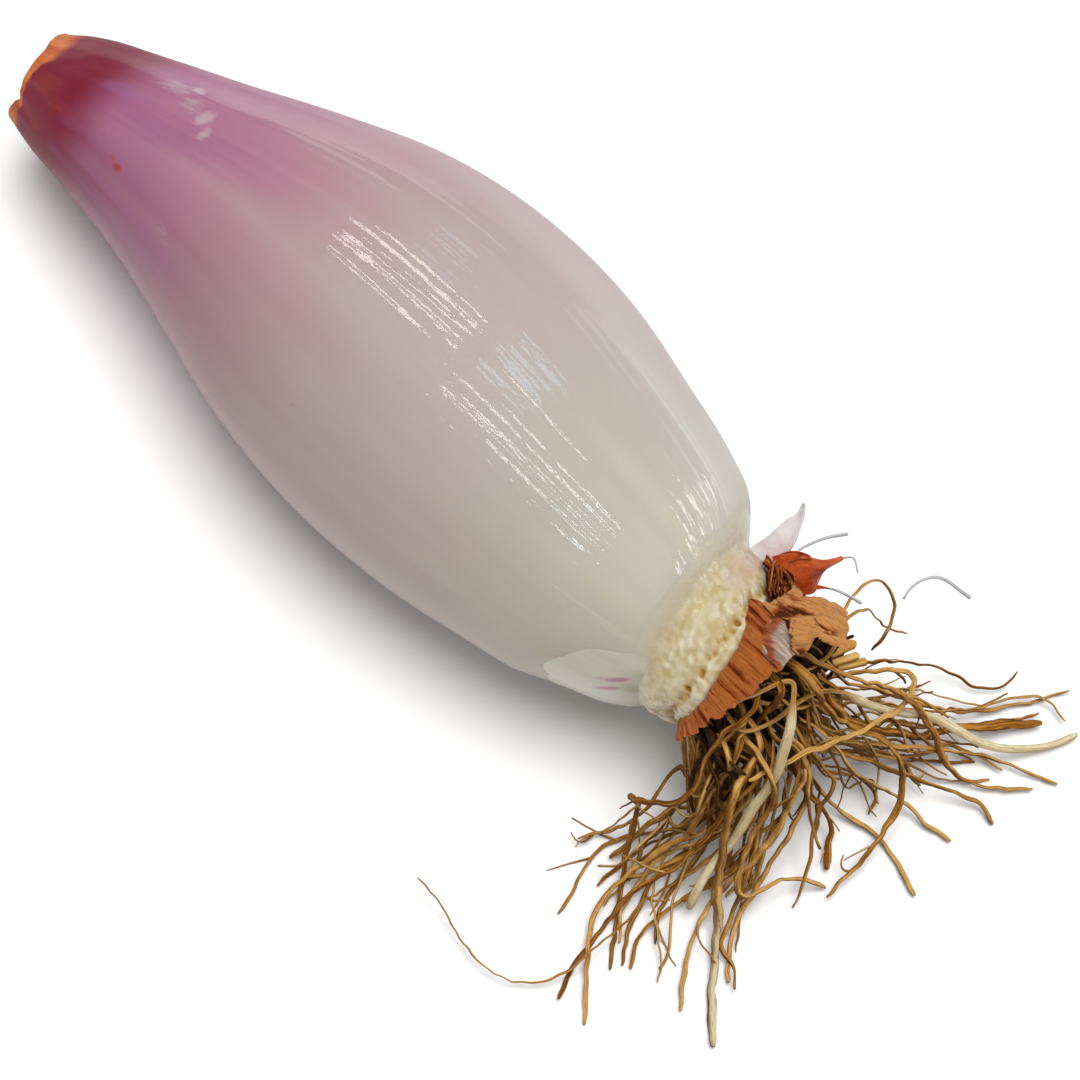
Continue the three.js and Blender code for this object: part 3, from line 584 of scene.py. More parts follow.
def collar_material():
    s = Shader("collar_flesh")
    grain = s.noise(s.place(), 800.0, 3.0, 0.65)
    sallow = s.noise(s.place(), 260.0)
    pit, disc = s.value("pit"), s.value("disc")
    # The flesh is darker between the nubs as painted shade in the valleys; it is also yellower there.
    flesh_and_valley_shade = s.ramp(s.value("lift"), [(0.0, (176, 154, 104)), (0.07, (190, 174, 136)), (0.22, (202, 192, 166))])
    hollow = s.ramp(pit, [(0.0, (190, 170, 118)), (0.5, (180, 144, 72)), (1.0, (150, 110, 44))])
    # The colour of the painted shadow under the tuft.
    tuft_shade_colour = s.ramp(grain, [(0.35, (34, 15, 6)), (0.65, (110, 58, 26))])
    soil = s.ramp(s.noise(s.place(), 420.0, 4.0, 0.65),
                  [(0.35, (30, 16, 7)), (0.55, (66, 40, 18)), (0.75, (118, 82, 44))])
    colour = s.layers(
        flesh_and_valley_shade,
        (s.between(grain, 0.42, 0.7, 0.0, 0.4), (208, 200, 180)),
        (s.between(sallow, 0.5, 0.72, 0.0, 0.45), (194, 174, 124)),
        (s.between(s.value("along"), 35.2, 38.2, 1.0, 0.0), (187, 179, 158)),
        (s.between(pit, 0.1, 0.7), hollow),
        (s.times(s.value("blush"), s.between(grain, 0.3, 0.6, 0.25, 0.6)), (200, 166, 156)),
        (s.value("scar"), tuft_shade_colour), (disc, soil))
    return s.finish(colour, s.between(disc, 0.0, 1.0, 0.45, 0.9), s.bump(s.noise(s.place(), 1500.0, 3.0), 0.1),
                    Coat_Weight=s.between(disc, 0.0, 1.0, 0.4, 0.0), Coat_Roughness=0.15,
                    Subsurface_Weight=s.between(disc, 0.0, 1.0, 0.35, 0.0),
                    Subsurface_Radius=(0.002, 0.0015, 0.0008))


# ---- Skins ----

# Their edges: degrees, low x, high x.
BAND_EDGE = [(18, 43.9, 46.0), (40, 43.7, 46.6), (50, 43.6, 46.8), (57, 42.8, 47.0), (64, 41.5, 47.3),
             (74, 42.3, 48.3), (84, 43.2, 48.1), (95, 43.6, 47.7), (109, 43.6, 47.2), (119, 43.6, 46.5),
             (131, 43.6, 45.7), (142, 43.4, 45.0), (158, 43.1, 44.3), (172, 43.0, 43.8)]
BAND_RADIUS = 9.72
BAND_PLEAT = 0.95
# The flaps' two edges: x, degrees, radius.
FLAP_UPPER = [(42.9, 63, 10.0), (43.8, 51, 10.3), (44.0, 43, 10.7), (44.1, 36, 10.9), (45.6, 40, 11.0),
              (46.4, 29, 11.1), (47.3, 20, 11.3), (48.9, 17, 11.4)]
FLAP_LOWER = [(44.4, 64, 10.1), (45.4, 62, 10.5), (47.2, 69, 10.5), (48.2, 75, 10.4), (49.4, 70, 10.8),
              (49.4, 63, 11.3), (51.2, 58, 11.5), (52.2, 55, 11.4)]
PALE_UPPER = [(44.2, 63, 9.9), (45.2, 62, 10.15), (46.4, 65, 10.3), (47.5, 69, 10.35), (48.5, 74, 10.25)]
PALE_LOWER = [(44.2, 76, 9.85), (45.0, 80, 10.05), (46.0, 83, 10.15), (47.0, 85, 10.2), (48.2, 86, 10.1)]


def edged(edge, share):
    """The angle at a share of a table's turn, and what its other columns say there."""
    angles, *columns = np.array(edge).T
    angle = angles[0] + (angles[-1] - angles[0]) * share
    return angle, *(np.interp(angle, angles, column) for column in columns)


def torn(share, size, seed, scale=26.0):
    """Small jags along a torn edge."""
    line = xyz(share * scale, seed, 0)
    return size * (rough(line, 1.0) + 0.6 * rough(line, 2.7, 4) + 0.35 * rough(line, 7.0, 2))


def make_band(material):
    share, rise = shares(460, 50)
    degrees, low, high = edged(BAND_EDGE, share)
    low, high = low + torn(share, 0.16, 1), high + torn(share, 0.5, 4)
    x = low + (high - low) * rise
    arc = arc_of(degrees, COLLAR_RADIUS)
    line = xyz(arc, 0.1 * x, 0)
    pleats = 0.16 * creased(line, 1 / BAND_PLEAT, 2) + 0.1 * creased(line, 2.3 / BAND_PLEAT, 5)
    buckle = 0.34 * rough(xyz(arc, x, 0), 0.28, 7)
    flare = 1.4 * smoothstep(118, 165, degrees) * rise
    radius = BAND_RADIUS + pleats * (0.5 + 0.7 * rise) + buckle * rise + 0.2 * rise ** 2 + flare
    radius += 0.3 * smoothstep(43.0, 41.6, x) - 0.3 * smoothstep(0.2, 0.0, rise)
    pale = smoothstep(60, 66, degrees) * smoothstep(90, 80, degrees) * smoothstep(0.3, 0.6, rise)
    part = shell(about_axis(x, radius, degrees), 0.12, rise=rise, arc=arc, pale=pale, fold=0.5 + 2.4 * pleats)
    mesh_piece("skin_band_sheet", part, material, "skin_orange", "skin_band")


def make_flap(material):
    grid, _, rise = between(FLAP_UPPER, FLAP_LOWER, 200, 110)
    x, degrees, radius = np.moveaxis(grid, -1, 0)
    arc = arc_of(degrees, 10.6) + 0.35 * x
    sheet = xyz(arc, 0.42 * x, 0)
    crumple = 0.45 * creased(sheet, 0.5, 3) + 0.32 * creased(sheet, 1.15, 6) + 0.12 * creased(sheet, 2.6, 9)
    crumple += 0.5 * rough(sheet, 0.3, 15)
    rows = about_axis(x + 0.25 * rough(sheet, 1.1, 12), radius + crumple, degrees + 2.2 * rough(sheet, 1.6, 18))
    part = shell(rows, 0.11, rise=rise, arc=arc, fold=0.5 + 0.9 * crumple)
    mesh_piece("skin_flap_sheet", part, material, "skin_ochre", "skin_flap")


def make_pale_flap(material):
    grid, share, rise = between(PALE_UPPER, PALE_LOWER, 90, 70)
    x, degrees, radius = np.moveaxis(grid, -1, 0)
    arc = arc_of(degrees, 10.3)
    sheet = xyz(arc, x * 0.3, 0)
    crumple = 0.2 * creased(sheet, 0.9, 13) + 0.1 * creased(sheet, 2.1, 16)
    bulge = 0.2 * np.sin(share * math.pi) * np.sin(rise * math.pi)
    sunk = 0.5 * smoothstep(0.65, 1.0, rise) + 0.35 * smoothstep(0.3, 0.0, share)
    rows = about_axis(x + 0.3 * rough(sheet, 1.3, 2), radius + bulge + crumple - sunk,
                      degrees + 2 * rough(sheet, 1.9, 6))
    inner = 0.85 * smoothstep(0.1, 0.5, share) * smoothstep(1.05, 0.6, rise) + 0.3 * rough(sheet, 1.2, 31)
    part = shell(rows, 0.06, rise=rise, arc=arc, pale=inner, fold=0.5 + 1.5 * crumple)
    mesh_piece("skin_flap_film", part, material, "skin_pale", "skin_flap_pale")


def paper_material(name, stops, dark, film=(190, 172, 160), specks=None, roughness=0.5, stripe=4.0, sheen=0.0,
                   fold_shade=0.22, grain=0.5, relief=0.3):
    """Dry skin: fibres that run along the bulb, painted shade in the folds (darker hollows, lighter ridges),
    blotches and pale translucent film.
    """
    s = Shader(name)
    fibres = s.add("CombineXYZ", {0: s.times(s.value("arc"), stripe), 1: s.value("rise")}).outputs[0]
    lines = s.noise(fibres, 1.0, 4.0, 0.7)
    thin = s.noise(fibres, (3.0, 2.0, 1.0), 3.0, 0.65)
    blotch = s.noise(s.place(), 380.0, 3.0, 0.65)
    # Painted shade: the tone falls in the hollows of the folds and rises on their ridges.
    folds = s.times(s.maths("SUBTRACT", s.value("fold"), 0.5), fold_shade)
    tone = s.plus(s.times(lines, grain), s.times(blotch, 1 - grain), folds)
    patch = s.between(s.plus(s.value("pale"), s.times(blotch, 0.6)), 0.7, 1.15)
    film_tone = s.ramp(lines, [(0.3, (118, 86, 66)), (0.5, film), (0.7, (204, 192, 180))])
    colour = s.layers(s.ramp(tone, stops), (patch, film_tone),
                      (s.between(thin, 0.54, 0.7, 0.0, 1.3 * grain), dark))
    if specks:
        cells = s.add("TexVoronoi", {"Vector": s.place(), "Scale": 620.0}).outputs["Distance"]
        rare = s.between(s.noise(s.place(), 300.0, 1.0), 0.58, 0.62)
        colour = s.layers(colour, (s.times(s.between(cells, 0.0, 0.22, 1.0, 0.0), rare), specks))
    return s.finish(colour, roughness, s.bump(s.plus(lines, s.times(thin, 0.6)), relief), Coat_Weight=sheen,
                    Coat_Roughness=0.22, Specular_IOR_Level=0.12, Subsurface_Weight=0.1,
                    Subsurface_Radius=(0.0012, 0.0006, 0.0003))


# ---- Blades: pointed torn pieces. Their edges are points from the wide end to the tip ----

SPIKE_UPPER = [(38.0, 9.5, 20.8), (38.6, 10.1, 21.4), (39.6, 10.8, 22.1), (40.8, 11.5, 22.1), (42.0, 12.5, 21.6),
               (42.8, 14.3, 20.6)]
SPIKE_LOWER = [(41.0, 8.4, 19.0), (42.0, 9.2, 18.6), (42.9, 10.3, 18.4), (42.6, 11.2, 19.1), (42.4, 12.4, 20.0),
               (42.9, 14.2, 20.5)]
FOLD_UPPER = [(38.3, 10.2, 20.8), (39.1, 10.8, 22.0), (40.0, 11.2, 22.6), (40.8, 11.5, 22.7)]
FOLD_LOWER = [(39.0, 9.6, 20.6), (39.7, 9.9, 21.4), (40.3, 10.6, 22.2), (41.4, 11.5, 22.5)]
SIDE_BLADE_UPPER = [(42.6, 10.9, 19.0), (43.3, 11.4, 18.8), (44.2, 12.0, 18.4)]
SIDE_BLADE_LOWER = [(42.9, 10.5, 18.7), (43.4, 11.2, 18.6), (44.2, 12.0, 18.3)]
TIP_UPPER = [(35.4, 7.6, 19.0), (35.5, 9.2, 19.6), (36.0, 10.6, 20.4), (36.2, 12.0, 21.0), (36.3, 13.4, 21.0),
             (36.4, 14.7, 20.4), (35.9, 16.1, 19.6)]
TIP_LOWER = [(39.8, 7.8, 20.4), (39.2, 9.4, 20.4), (38.9, 10.8, 20.8), (38.7, 12.0, 21.2), (38.0, 13.5, 21.0),
             (37.1, 15.2, 20.4), (36.3, 16.2, 19.6)]
SHRED_UPPER = [(44.2, -8.7, 17.6), (45.0, -9.2, 14.6), (46.4, -10.2, 11.0), (47.6, -11.4, 6.6)]
SHRED_LOWER = [(46.8, -6.6, 17.6), (48.2, -7.0, 14.8), (49.4, -8.2, 11.0), (50.2, -10.4, 6.6)]
SHRED_STRIPS = 40


def blade(upper, lower, cup, wrinkle, thickness, seed, along=90, across=60):
    """A cupped, wrinkled sheet between two edges."""
    rows, share, rise = between(upper, lower, along, across)
    fibre = xyz(rise * 5, share * 2.5, 0)
    folds = creased(fibre, 1.0, seed)
    depth = wrinkle * (folds + 0.5 * rough(fibre, 3.0, seed + 2)) * smoothstep(1.0, 0.75, share)
    depth = depth + cup * 4 * rise * (1 - rise) * (1 - 0.6 * share)
    return shell(rows + normals_of(rows) * depth[..., None], thickness, share=share, rise=rise,
                 arc=4 * rise + share, fold=0.5 + 0.2 * folds)


def shred_strip(number):
    """One narrow strip of the skin that has torn into fibres under the band."""
    share, width = rng.uniform(0, 1), rng.uniform(0.025, 0.09)
    upper, lower = np.array(SHRED_UPPER), np.array(SHRED_LOWER)
    aside = rng.normal(size=(len(upper), 3)) * [0.35, 0.35, 0.25] + rng.normal(size=3) * [0.5, 0.5, 0.8]
    edges = (upper + (lower - upper) * (share + side * width) + aside for side in (-1, 1))
    return blade(*edges, rng.uniform(-0.3, 0.3), 0.06, 0.08, 40 + number, 40, 8)


def make_blades(rust, blush, amber):
    spike = [blade(SPIKE_UPPER, SPIKE_LOWER, -0.6, 0.05, 0.14, 3),
             blade(FOLD_UPPER, FOLD_LOWER, 0.3, 0.05, 0.12, 6, 50, 24),
             blade(SIDE_BLADE_UPPER, SIDE_BLADE_LOWER, 0.1, 0.02, 0.1, 9, 30, 16)]
    mesh_piece("skin_spike_sheet", spike, rust, "skin_rust", "skin_spike")
    tip = blade(TIP_UPPER, TIP_LOWER, 0.45, 0.015, 0.3, 5)
    mesh_piece("scale_tip_sheet", tip, blush, "scale_remnant", "scale_tip")
    shred = [shred_strip(number) for number in range(SHRED_STRIPS)]
    mesh_piece("skin_shred_sheet", shred, amber, "skin_ochre", "skin_shred")


def blush_material():
    s = Shader("scale_tip")
    share = s.value("share")
    pink = s.times(s.between(s.value("rise"), 0.15, 0.9), s.between(share, 0.0, 0.6, 1.0, 0.1), 0.8)
    mottle = s.between(s.noise(s.place(), 700.0), 0.4, 0.7, 0.0, 0.5)
    colour = s.layers(s.mix(mottle, (204, 197, 198), (192, 184, 188)), (pink, (196, 148, 152)),
                      (s.between(share, 0.86, 1.0, 0.0, 0.8), (160, 148, 150)))
    return s.finish(colour, 0.45, s.bump(s.noise(s.place(), 900.0), 0.15), Coat_Weight=0.3, Coat_Roughness=0.2,
                    Subsurface_Weight=0.25, Subsurface_Radius=(0.0016, 0.001, 0.001))


# ---- Torn base of the next scale outwards ----

# Its edge: degrees, x.
REMNANT_EDGE = [(118, 38.2), (124, 38.0), (130, 37.4), (135, 36.2), (140, 35.0), (145, 33.4), (150, 32.0),
                (157, 31.4), (164, 30.4), (172, 29.6), (184, 29.8), (200, 30.2), (218, 31.5), (234, 35.0),
                (240, 37.6)]
REMNANT_STREAKS = [(35.2, 162, 1.2, 3.0, 1.0), (34.0, 161, 0.9, 3.0, 0.65), (34.8, 171, 1.5, 3.4, 0.9)]
STREAK_SLANT = 4.5  # degrees of turn for each mm along


def make_remnant(material):
    share, rise = shares(240, 70)
    degrees, low = edged(REMNANT_EDGE, share)
    low = low + torn(share, 0.35, 21, 16)
    along = low + (38.4 - low) * rise
    thickness = 0.36 * smoothstep(0, 0.6, rise) + 0.04
    ends = smoothstep(0, 0.14, share) * smoothstep(1, 0.9, share) * smoothstep(38.2, 35.6, along)
    wave = 0.1 * rough(xyz(degrees * 0.2, along, 0), 0.7, 4)
    rows = about_axis(along, ring_at(along, 3) + (thickness + wave * rise) * ends - 0.2 * (1 - ends), degrees)
    rows[..., 2] = np.clip(rows[..., 2], 0.02, None)
    purple = marks_at(REMNANT_STREAKS, along, degrees + STREAK_SLANT * (along - 34.4))
    part = shell(rows, 0.3, purple=purple, polar=xyz(*circle(degrees), along / 100))
    mesh_piece("scale_base", part, material, "scale_remnant", "outer_scale_remnant")


def remnant_material():
    s = Shader("scale_remnant")
    polar = s.value("polar", "Vector")
    streak = s.noise(polar, (9, 9, 9))
    purple = s.between(s.plus(s.value("purple"), s.times(streak, 0.5)), 0.55, 1.15, 0.0, 0.8)
    colour = s.mix(purple, s.ramp(streak, [(0.3, (178, 170, 150)), (0.65, (188, 181, 163))]), (150, 70, 104))
    return s.finish(colour, 0.38, s.bump(s.noise(polar, (24, 24, 6), 1.0), 0.03), Coat_Weight=0.5,
                    Coat_Roughness=0.12, Subsurface_Weight=0.15, Subsurface_Radius=(0.003, 0.0016, 0.0014))


# ---- Roots ----

ROOTS = [f"root_{number:02d}" for number in range(1, 44)]
ROOT_STEP = 0.34
ROOT_LEANNESS = 0.52  # of the frame's radius, because dried roots are flattened and grooved
HEAP_TOP = 27.0  # height of the heap of roots at the disc, which falls by HEAP_SLOPE for each mm away from it; roots under it get painted shade
HEAP_SLOPE = 1.25
LIFTED = {"root_42": 3.8}  # how far each bows out of the heap, in mm
# The share of the usual width, where a root differs.
WIDTHS = {"root_08": 0.7, "root_17": 1.2, "root_40": 0.8, "root_41": 0.76, "root_42": 0.95, "root_43": 0.72}
CREAM_FROM = {"root_42": 12.0, "root_43": 17.0}  # how far from its base each pale root has lost its brown bark
RIBBONS = {"root_08": 1.5, "root_09": 1.2, "root_16": 1.15, "root_11": 1.2}  # how far each is spread into a ribbon
BLEACHED = "root_17"
FILLER_ROOTS = 40
FORKED_ROOTLETS = 66
FORK_LIMIT = 27.0  # from the disc
CORE_ROOTS = 150
HOLLOW_UNDER_FLAP = np.array([47.1, 8.7, 14.8])  # where short roots bend under the loose flap; their near-black colour is painted shade in the hollow there
# Stubs of new roots: x, y, z of the tip, radius.
ROOT_NUBS = [(49.2, 9.9, 16.8, 0.52), (50.1, 9.5, 15.8, 0.46), (50.8, 9.9, 14.6, 0.4), (50.2, 6.2, 12.4, 0.7),
             (51.2, 6.2, 11.4, 0.6), (51.0, 5.0, 10.2, 0.6), (51.8, 3.9, 10.0, 0.5), (49.6, 4.3, 9.2, 0.5)]
# Grey filaments: the one at the spike's tip, and where the frame's third one runs.
HAIR_TIP = np.array([(43.0, 14.3, 20.6), (43.8, 15.0, 20.7), (44.9, 14.4, 20.1)])
HAIR_TIP_RADIUS = 0.12
HAIR_3 = np.array([(44.0, 11.9, 18.4), (44.8, 12.4, 18.0), (45.9, 12.9, 17.5), (46.8, 13.2, 17.2)])
HAIR_RADIUS = 0.19
TUFT_STRANDS = 80


def smoothed(line):
    line = line.copy()
    line[1:-1] = 0.25 * line[:-2] + 0.5 * line[1:-1] + 0.25 * line[2:]
    return line


def resampled(line, step):
    """Points at even steps along a smooth curve through the line, and how far along each is."""
    fine = along_curve(line, np.linspace(0, len(line) - 1, 12 * len(line)))
    lengths = np.concatenate([[0], np.cumsum(np.linalg.norm(np.diff(fine, axis=0), axis=1))])
    even = np.linspace(0, lengths[-1], max(6, int(lengths[-1] / step)))
    return np.stack([np.interp(even, lengths, fine[:, k]) for k in range(3)], axis=1), even


def drift(even, scale, seed, channel):
    """Smooth noise along a line."""
    return np.array([noise.noise(Vector((s * scale, seed, channel))) for s in even])


def wandering(line, even, amount, wavelength, seed):
    """The line with small sideways wanders that grow from its base."""
    offsets = [[noise.noise(Vector((s / wavelength, seed + 7.7 * axis, 0.3))) for axis in range(3)] for s in even]
    return line + (amount * smoothstep(0, 6, even))[:, None] * np.array(offsets)


def above_floor(line, size, gap=0.05):
    line[:, 2] = np.maximum(line[:, 2], size + gap)
    return line


def carried(line):
    """A pair of directions across the line at each point, turning as little as they can."""
    tangents = unit(np.gradient(line, axis=0))
    normal = np.array([0.0, 0.0, 1.0]) if abs(tangents[0, 2]) < 0.9 else np.array([0.0, 1.0, 0.0])
    normals = []
    for tangent in tangents:
        normal = normal - tangent * normal.dot(tangent)
        normal /= np.linalg.norm(normal)
        normals.append(normal)
    return np.array(normals), np.cross(tangents, normals)


def root_tube(line, even, radius, seed, sides, wrinkle=1.0, ribbon=1.0, **values):
    """A dried root: flattened, grooved and twisted along its line."""
    normals, binormals = carried(line)
    turn = np.arange(sides) * TURN / sides
    cos, sin = np.cos(turn), np.sin(turn)
    angle = turn + 2.2 * drift(even, 0.07, seed, 4)[:, None]
    flat = 0.3 + 0.2 * drift(even, 0.2, seed, 9)
    spot = xyz(1.3 * cos, 1.3 * sin, (even * 0.35)[:, None])
    groove = creased(spot * [1.5, 1.5, 0.6], 1.0, seed + 3)
    lumps = 0.22 * rough(spot, 1.0, seed) + 0.14 * groove + 0.14 * rough(spot * [1, 1, 2.6], 1.0, seed + 8)
    shape = 1 + flat[:, None] * np.cos(2 * angle) * wrinkle + wrinkle * lumps
    swell = 1 + wrinkle * 0.36 * drift(even, 0.22, seed, 1)
    size = radius[:, None] * shape * swell[:, None]
    wide = 1 + (ribbon - 1) * smoothstep(0.15, 0.45, even / even[-1])[:, None]
    across, over = size * cos * wide, size * sin / wide
    rows = line[:, None] + across[..., None] * normals[:, None] + over[..., None] * binormals[:, None]
    rows[..., 2] = np.clip(rows[..., 2], 0.02, None)
    from_disc = np.linalg.norm(line - DISC_CENTRE, axis=1)
    # Painted shade: how far each point lies under the heap's top near the disc, where the heap shades it.
    under = np.clip(HEAP_TOP - HEAP_SLOPE * from_disc - line[:, 2], 0, None)
    deep = smoothstep(1.0, 6.0, under) * smoothstep(23, 10, from_disc)
    values = {"polar": xyz(cos, sin, (even / 10 + seed)[:, None]), "deep": deep[:, None], "groove": groove,
              **values}
    return closed(rows, line[0], line[-1] + (line[-1] - line[-2]) * 0.4, **values)


def root_lines():
    """Centre line, distance along and radius of every root in the frame."""
    found = {}
    for name in ROOTS:
        rings = rings_of(name, DISC_CENTRE)
        centres = np.array([ring.mean(0) for ring in rings])
        radii = np.array([np.linalg.norm(ring - ring.mean(0), axis=1).mean() for ring in rings])
        line, even = resampled(np.vstack([[centres[0] - [1.6, 0, 0]], smoothed(centres)]), ROOT_STEP)
        radius = np.interp(even / even[-1], np.linspace(0, 1, len(radii)), radii) * ROOT_LEANNESS
        found[name] = (line, even, radius)
    return found


def make_roots(lines, brown, cream):
    for number, (name, (line, even, radius)) in enumerate(lines.items()):
        pale = name in CREAM_FROM
        line = wandering(line, even, 0.1 if pale else 0.32, 3.4, number * 1.3)
        line = wandering(line, even, 0.05 if pale else 0.2, 1.3, 60 + number * 1.3)
        bow = 1 - np.abs(2 * even / even[-1] - 1) ** 4
        line += LIFTED.get(name, 0.0) * bow[:, None] * [0.05, -0.5, 1.0]
        tip = 1 - 0.35 * smoothstep(even[-1] - 0.8, even[-1], even)
        radius = np.maximum(radius, 0.5 * radius.max()) * tip * rng.uniform(0.8, 1.25) * WIDTHS.get(name, 1.0)
        bark = 0 * even
        if pale:
            bark = smoothstep(CREAM_FROM[name] + 3, CREAM_FROM[name], even)
            radius = radius * (1.7 - 0.9 * bark)
        bleached = smoothstep(0.55, 0.8, even / even[-1]) * (name == BLEACHED)
        part = root_tube(line, even, radius, number * 2.1, 14, 0.35 if pale else 1.0, RIBBONS.get(name, 1.0),
                         tone=rng.uniform(0, 1), bleached=bleached[:, None], bark=bark[:, None])
        mesh_piece(name + "_fibre", part, cream if pale else brown, "root_cream" if pale else "root_brown", name)


def filler_roots(lines, material):
    """Thinner roots that run between neighbours of the fan."""
    ordered = sorted(lines.values(), key=lambda root: math.atan2(root[0][-1, 1] + 2, root[0][-1, 0] - DISC_X))
    ordered = [root[0] for root in ordered if root[0][-1, 2] < 3]
    groups = {"left": [], "right": []}
    for number in range(FILLER_ROOTS):
        first = rng.integers(0, len(ordered) - 3)
        a, b = ordered[first], ordered[first + rng.integers(1, 4)]
        share = rng.uniform(0.15, 0.85)
        along = np.linspace(0, rng.uniform(0.55, 1.0), 60)
        line = sum(weight * along_curve(root, along * (len(root) - 1))
                   for weight, root in ((share, a), (1 - share, b)))
        line, even = resampled(line[::4], ROOT_STEP * 1.3)
        line = wandering(line, even, 2.4, 7.0, 40 + number * 1.9)
        line = wandering(line, even, 0.5, 2.6, 140 + number * 1.1)
        thick = rng.uniform(0.14, 0.3)
        radius = np.linspace(thick, thick * 0.6, len(line))
        part = root_tube(above_floor(line, radius), even, radius, 300 + number, 7, tone=rng.uniform(0, 1))
        groups["left" if line[-1, 1] < -4 else "right"].append(part)
    for side, parts in groups.items():
        mesh_piece(f"fine_roots_{side}", parts, material, "root_brown")


def forked_rootlets(lines, material):
    """Short rootlets that branch from the roots and droop to the floor."""
    parts = []
    roots = [root for name, root in lines.items() if name not in WIDTHS]
    for number in range(FORKED_ROOTLETS):
        line, _, radius = roots[rng.integers(len(roots))]
        near = np.linalg.norm(line - DISC_CENTRE, axis=1) < FORK_LIMIT
        at = int(rng.uniform(0.35, 0.97) * near.sum())
        heading = unit(line[min(at + 2, len(line) - 1)] - line[max(at - 2, 0)])
        aside = rng.normal(size=3) * [1, 1, 0.45]
        aside -= heading * aside.dot(heading)
        aside /= np.linalg.norm(aside)
        length = rng.uniform(1.6, 5.0)
        steps = np.linspace(0, 1, 9)[:, None]
        bend = rng.normal(size=3) * [0.5, 0.5, 0.2]
        curve = line[at] + length * (steps * (0.75 * heading + 0.6 * aside) + steps ** 2 * bend * 0.7)
        curve[:, 2] -= 0.06 * length * steps[:, 0] ** 2 * curve[:, 2]
        curve, run = resampled(curve, 0.3)
        curve = wandering(curve, run, 0.35, 1.7, 500 + number)
        thick = min(rng.uniform(0.1, 0.19), radius[at] * 0.8)
        size = np.linspace(thick, thick * 0.55, len(curve))
        parts.append(root_tube(above_floor(curve, size, 0.04), run, size, 700 + number, 6, 0.7,
                               tone=rng.uniform(0, 1)))
    mesh_piece("forked_rootlets", parts, material, "root_brown")


def core_roots(material):
    """Short roots that crowd the stem disc, behind the long ones, coloured near-black as painted shade among the
    roots.
    """
    parts = []
    for number in range(CORE_ROOTS):
        turn, distance = rng.uniform(0, TURN), 7.4 * math.sqrt(rng.uniform(0, 1))
        start = DISC_CENTRE + [0.2, distance * math.cos(turn), distance * math.sin(turn)]
        spread = np.array([rng.uniform(2, 6.5), rng.normal() * 2.2 + 0.2 * distance * math.cos(turn),
                           -rng.uniform(2, 10)])
        if number % 3 == 0:
            spread = HOLLOW_UNDER_FLAP + rng.uniform(-1, 1, 3) * [1.4, 1.2, 2.4] - start
        steps = np.linspace(0, 1, 8)[:, None]
        bulge = np.array([2.0, 0, 0.6]) * np.sin(math.pi * steps) * rng.uniform(0.2, 1.0)
        curve, run = resampled(start + spread * steps ** 1.2 + bulge, 0.4)
        curve = wandering(curve, run, 1.8, 4.0, 900 + number)
        size = np.linspace(rng.uniform(0.22, 0.4), 0.16, len(curve))
        parts.append(root_tube(above_floor(curve, size), run, size, 1100 + number, 7, tone=rng.uniform(0, 0.6)))
    mesh_piece("core_roots", parts, material, "root_brown")


def root_nubs(material):
    """Stubs of new roots, pale yellow, that have just broken out of the stem disc."""
    parts = []
    for number, (*tip, size) in enumerate(ROOT_NUBS):
        base = np.array(tip) + (DISC_CENTRE + [1, 0, 0] - tip) * 0.25
        line, run = resampled(np.linspace(base, tip, 6), 0.2)
        dome = np.sqrt(np.clip(1 - smoothstep(run[-1] - size, run[-1], run) ** 2 * 0.96, 0, 1))
        parts.append(root_tube(line, run, size * dome, 1500 + number, 12, 0.35, tone=rng.uniform(0.3, 1)))
    mesh_piece("root_nubs", parts, material, "root_cream")


def make_hair(name, route, first, last, seed, material, *replaced):
    line, even = resampled(route, 0.3)
    part = root_tube(line, even, np.linspace(first, last, len(line)), seed, 8, 0.25, tone=0.5)
    mesh_piece(name, part, material, "rootlet_grey", *replaced)


def make_hairs(material):
    for number in (1, 2, 3):
        node = f"rootlet_{number}"
        route = HAIR_3 if number == 3 else np.array([ring.mean(0) for ring in rings_of(node, DISC_CENTRE)])
        make_hair(f"hair_{number}", route, 0.75 * HAIR_RADIUS, HAIR_RADIUS, 1700 + number, material, node)
    make_hair("fine_hairs", HAIR_TIP, HAIR_TIP_RADIUS, 0.8 * HAIR_TIP_RADIUS, 1800, material)


def make_fibre_tuft(material):
    """Dry fibres of the torn outer skins, between the flap and the spike."""
    parts = []
    for number in range(TUFT_STRANDS):
        right = rng.uniform(0, 1)
        top = np.array([39.4 + 2.0 * right, 10.4, 19])
        foot = np.array([43.0 + 1.8 * right, 10.3, 53 - 33 * right])
        spread = rng.normal(size=(3, 3)) * [0.3, 0.35, 2.8]
        steps = np.array([rng.uniform(0.1, 0.4), 0.5, rng.uniform(0.6, 1.1)])[:, None]
        route = along_curve(top + (foot - top) * steps + spread, np.linspace(0, 2, 12))
        curve, run = resampled(about_axis(*route.T), 0.25)
        curve = wandering(curve, run, 0.16, 1.6, 1900 + number)
        size = np.linspace(rng.uniform(0.12, 0.32), 0.08, len(curve))
        # Painted shade: each strand is darkened by a random share, for the shade between the strands.
        parts.append(root_tube(curve, run, size, 1900 + number, 7, 1.2, 1.5, tone=rng.uniform(0, 1),
                               deep=rng.uniform(0, 1) ** 3))
    mesh_piece("fibre_tuft_strands", parts, material, "skin_rust", "fibre_tuft")


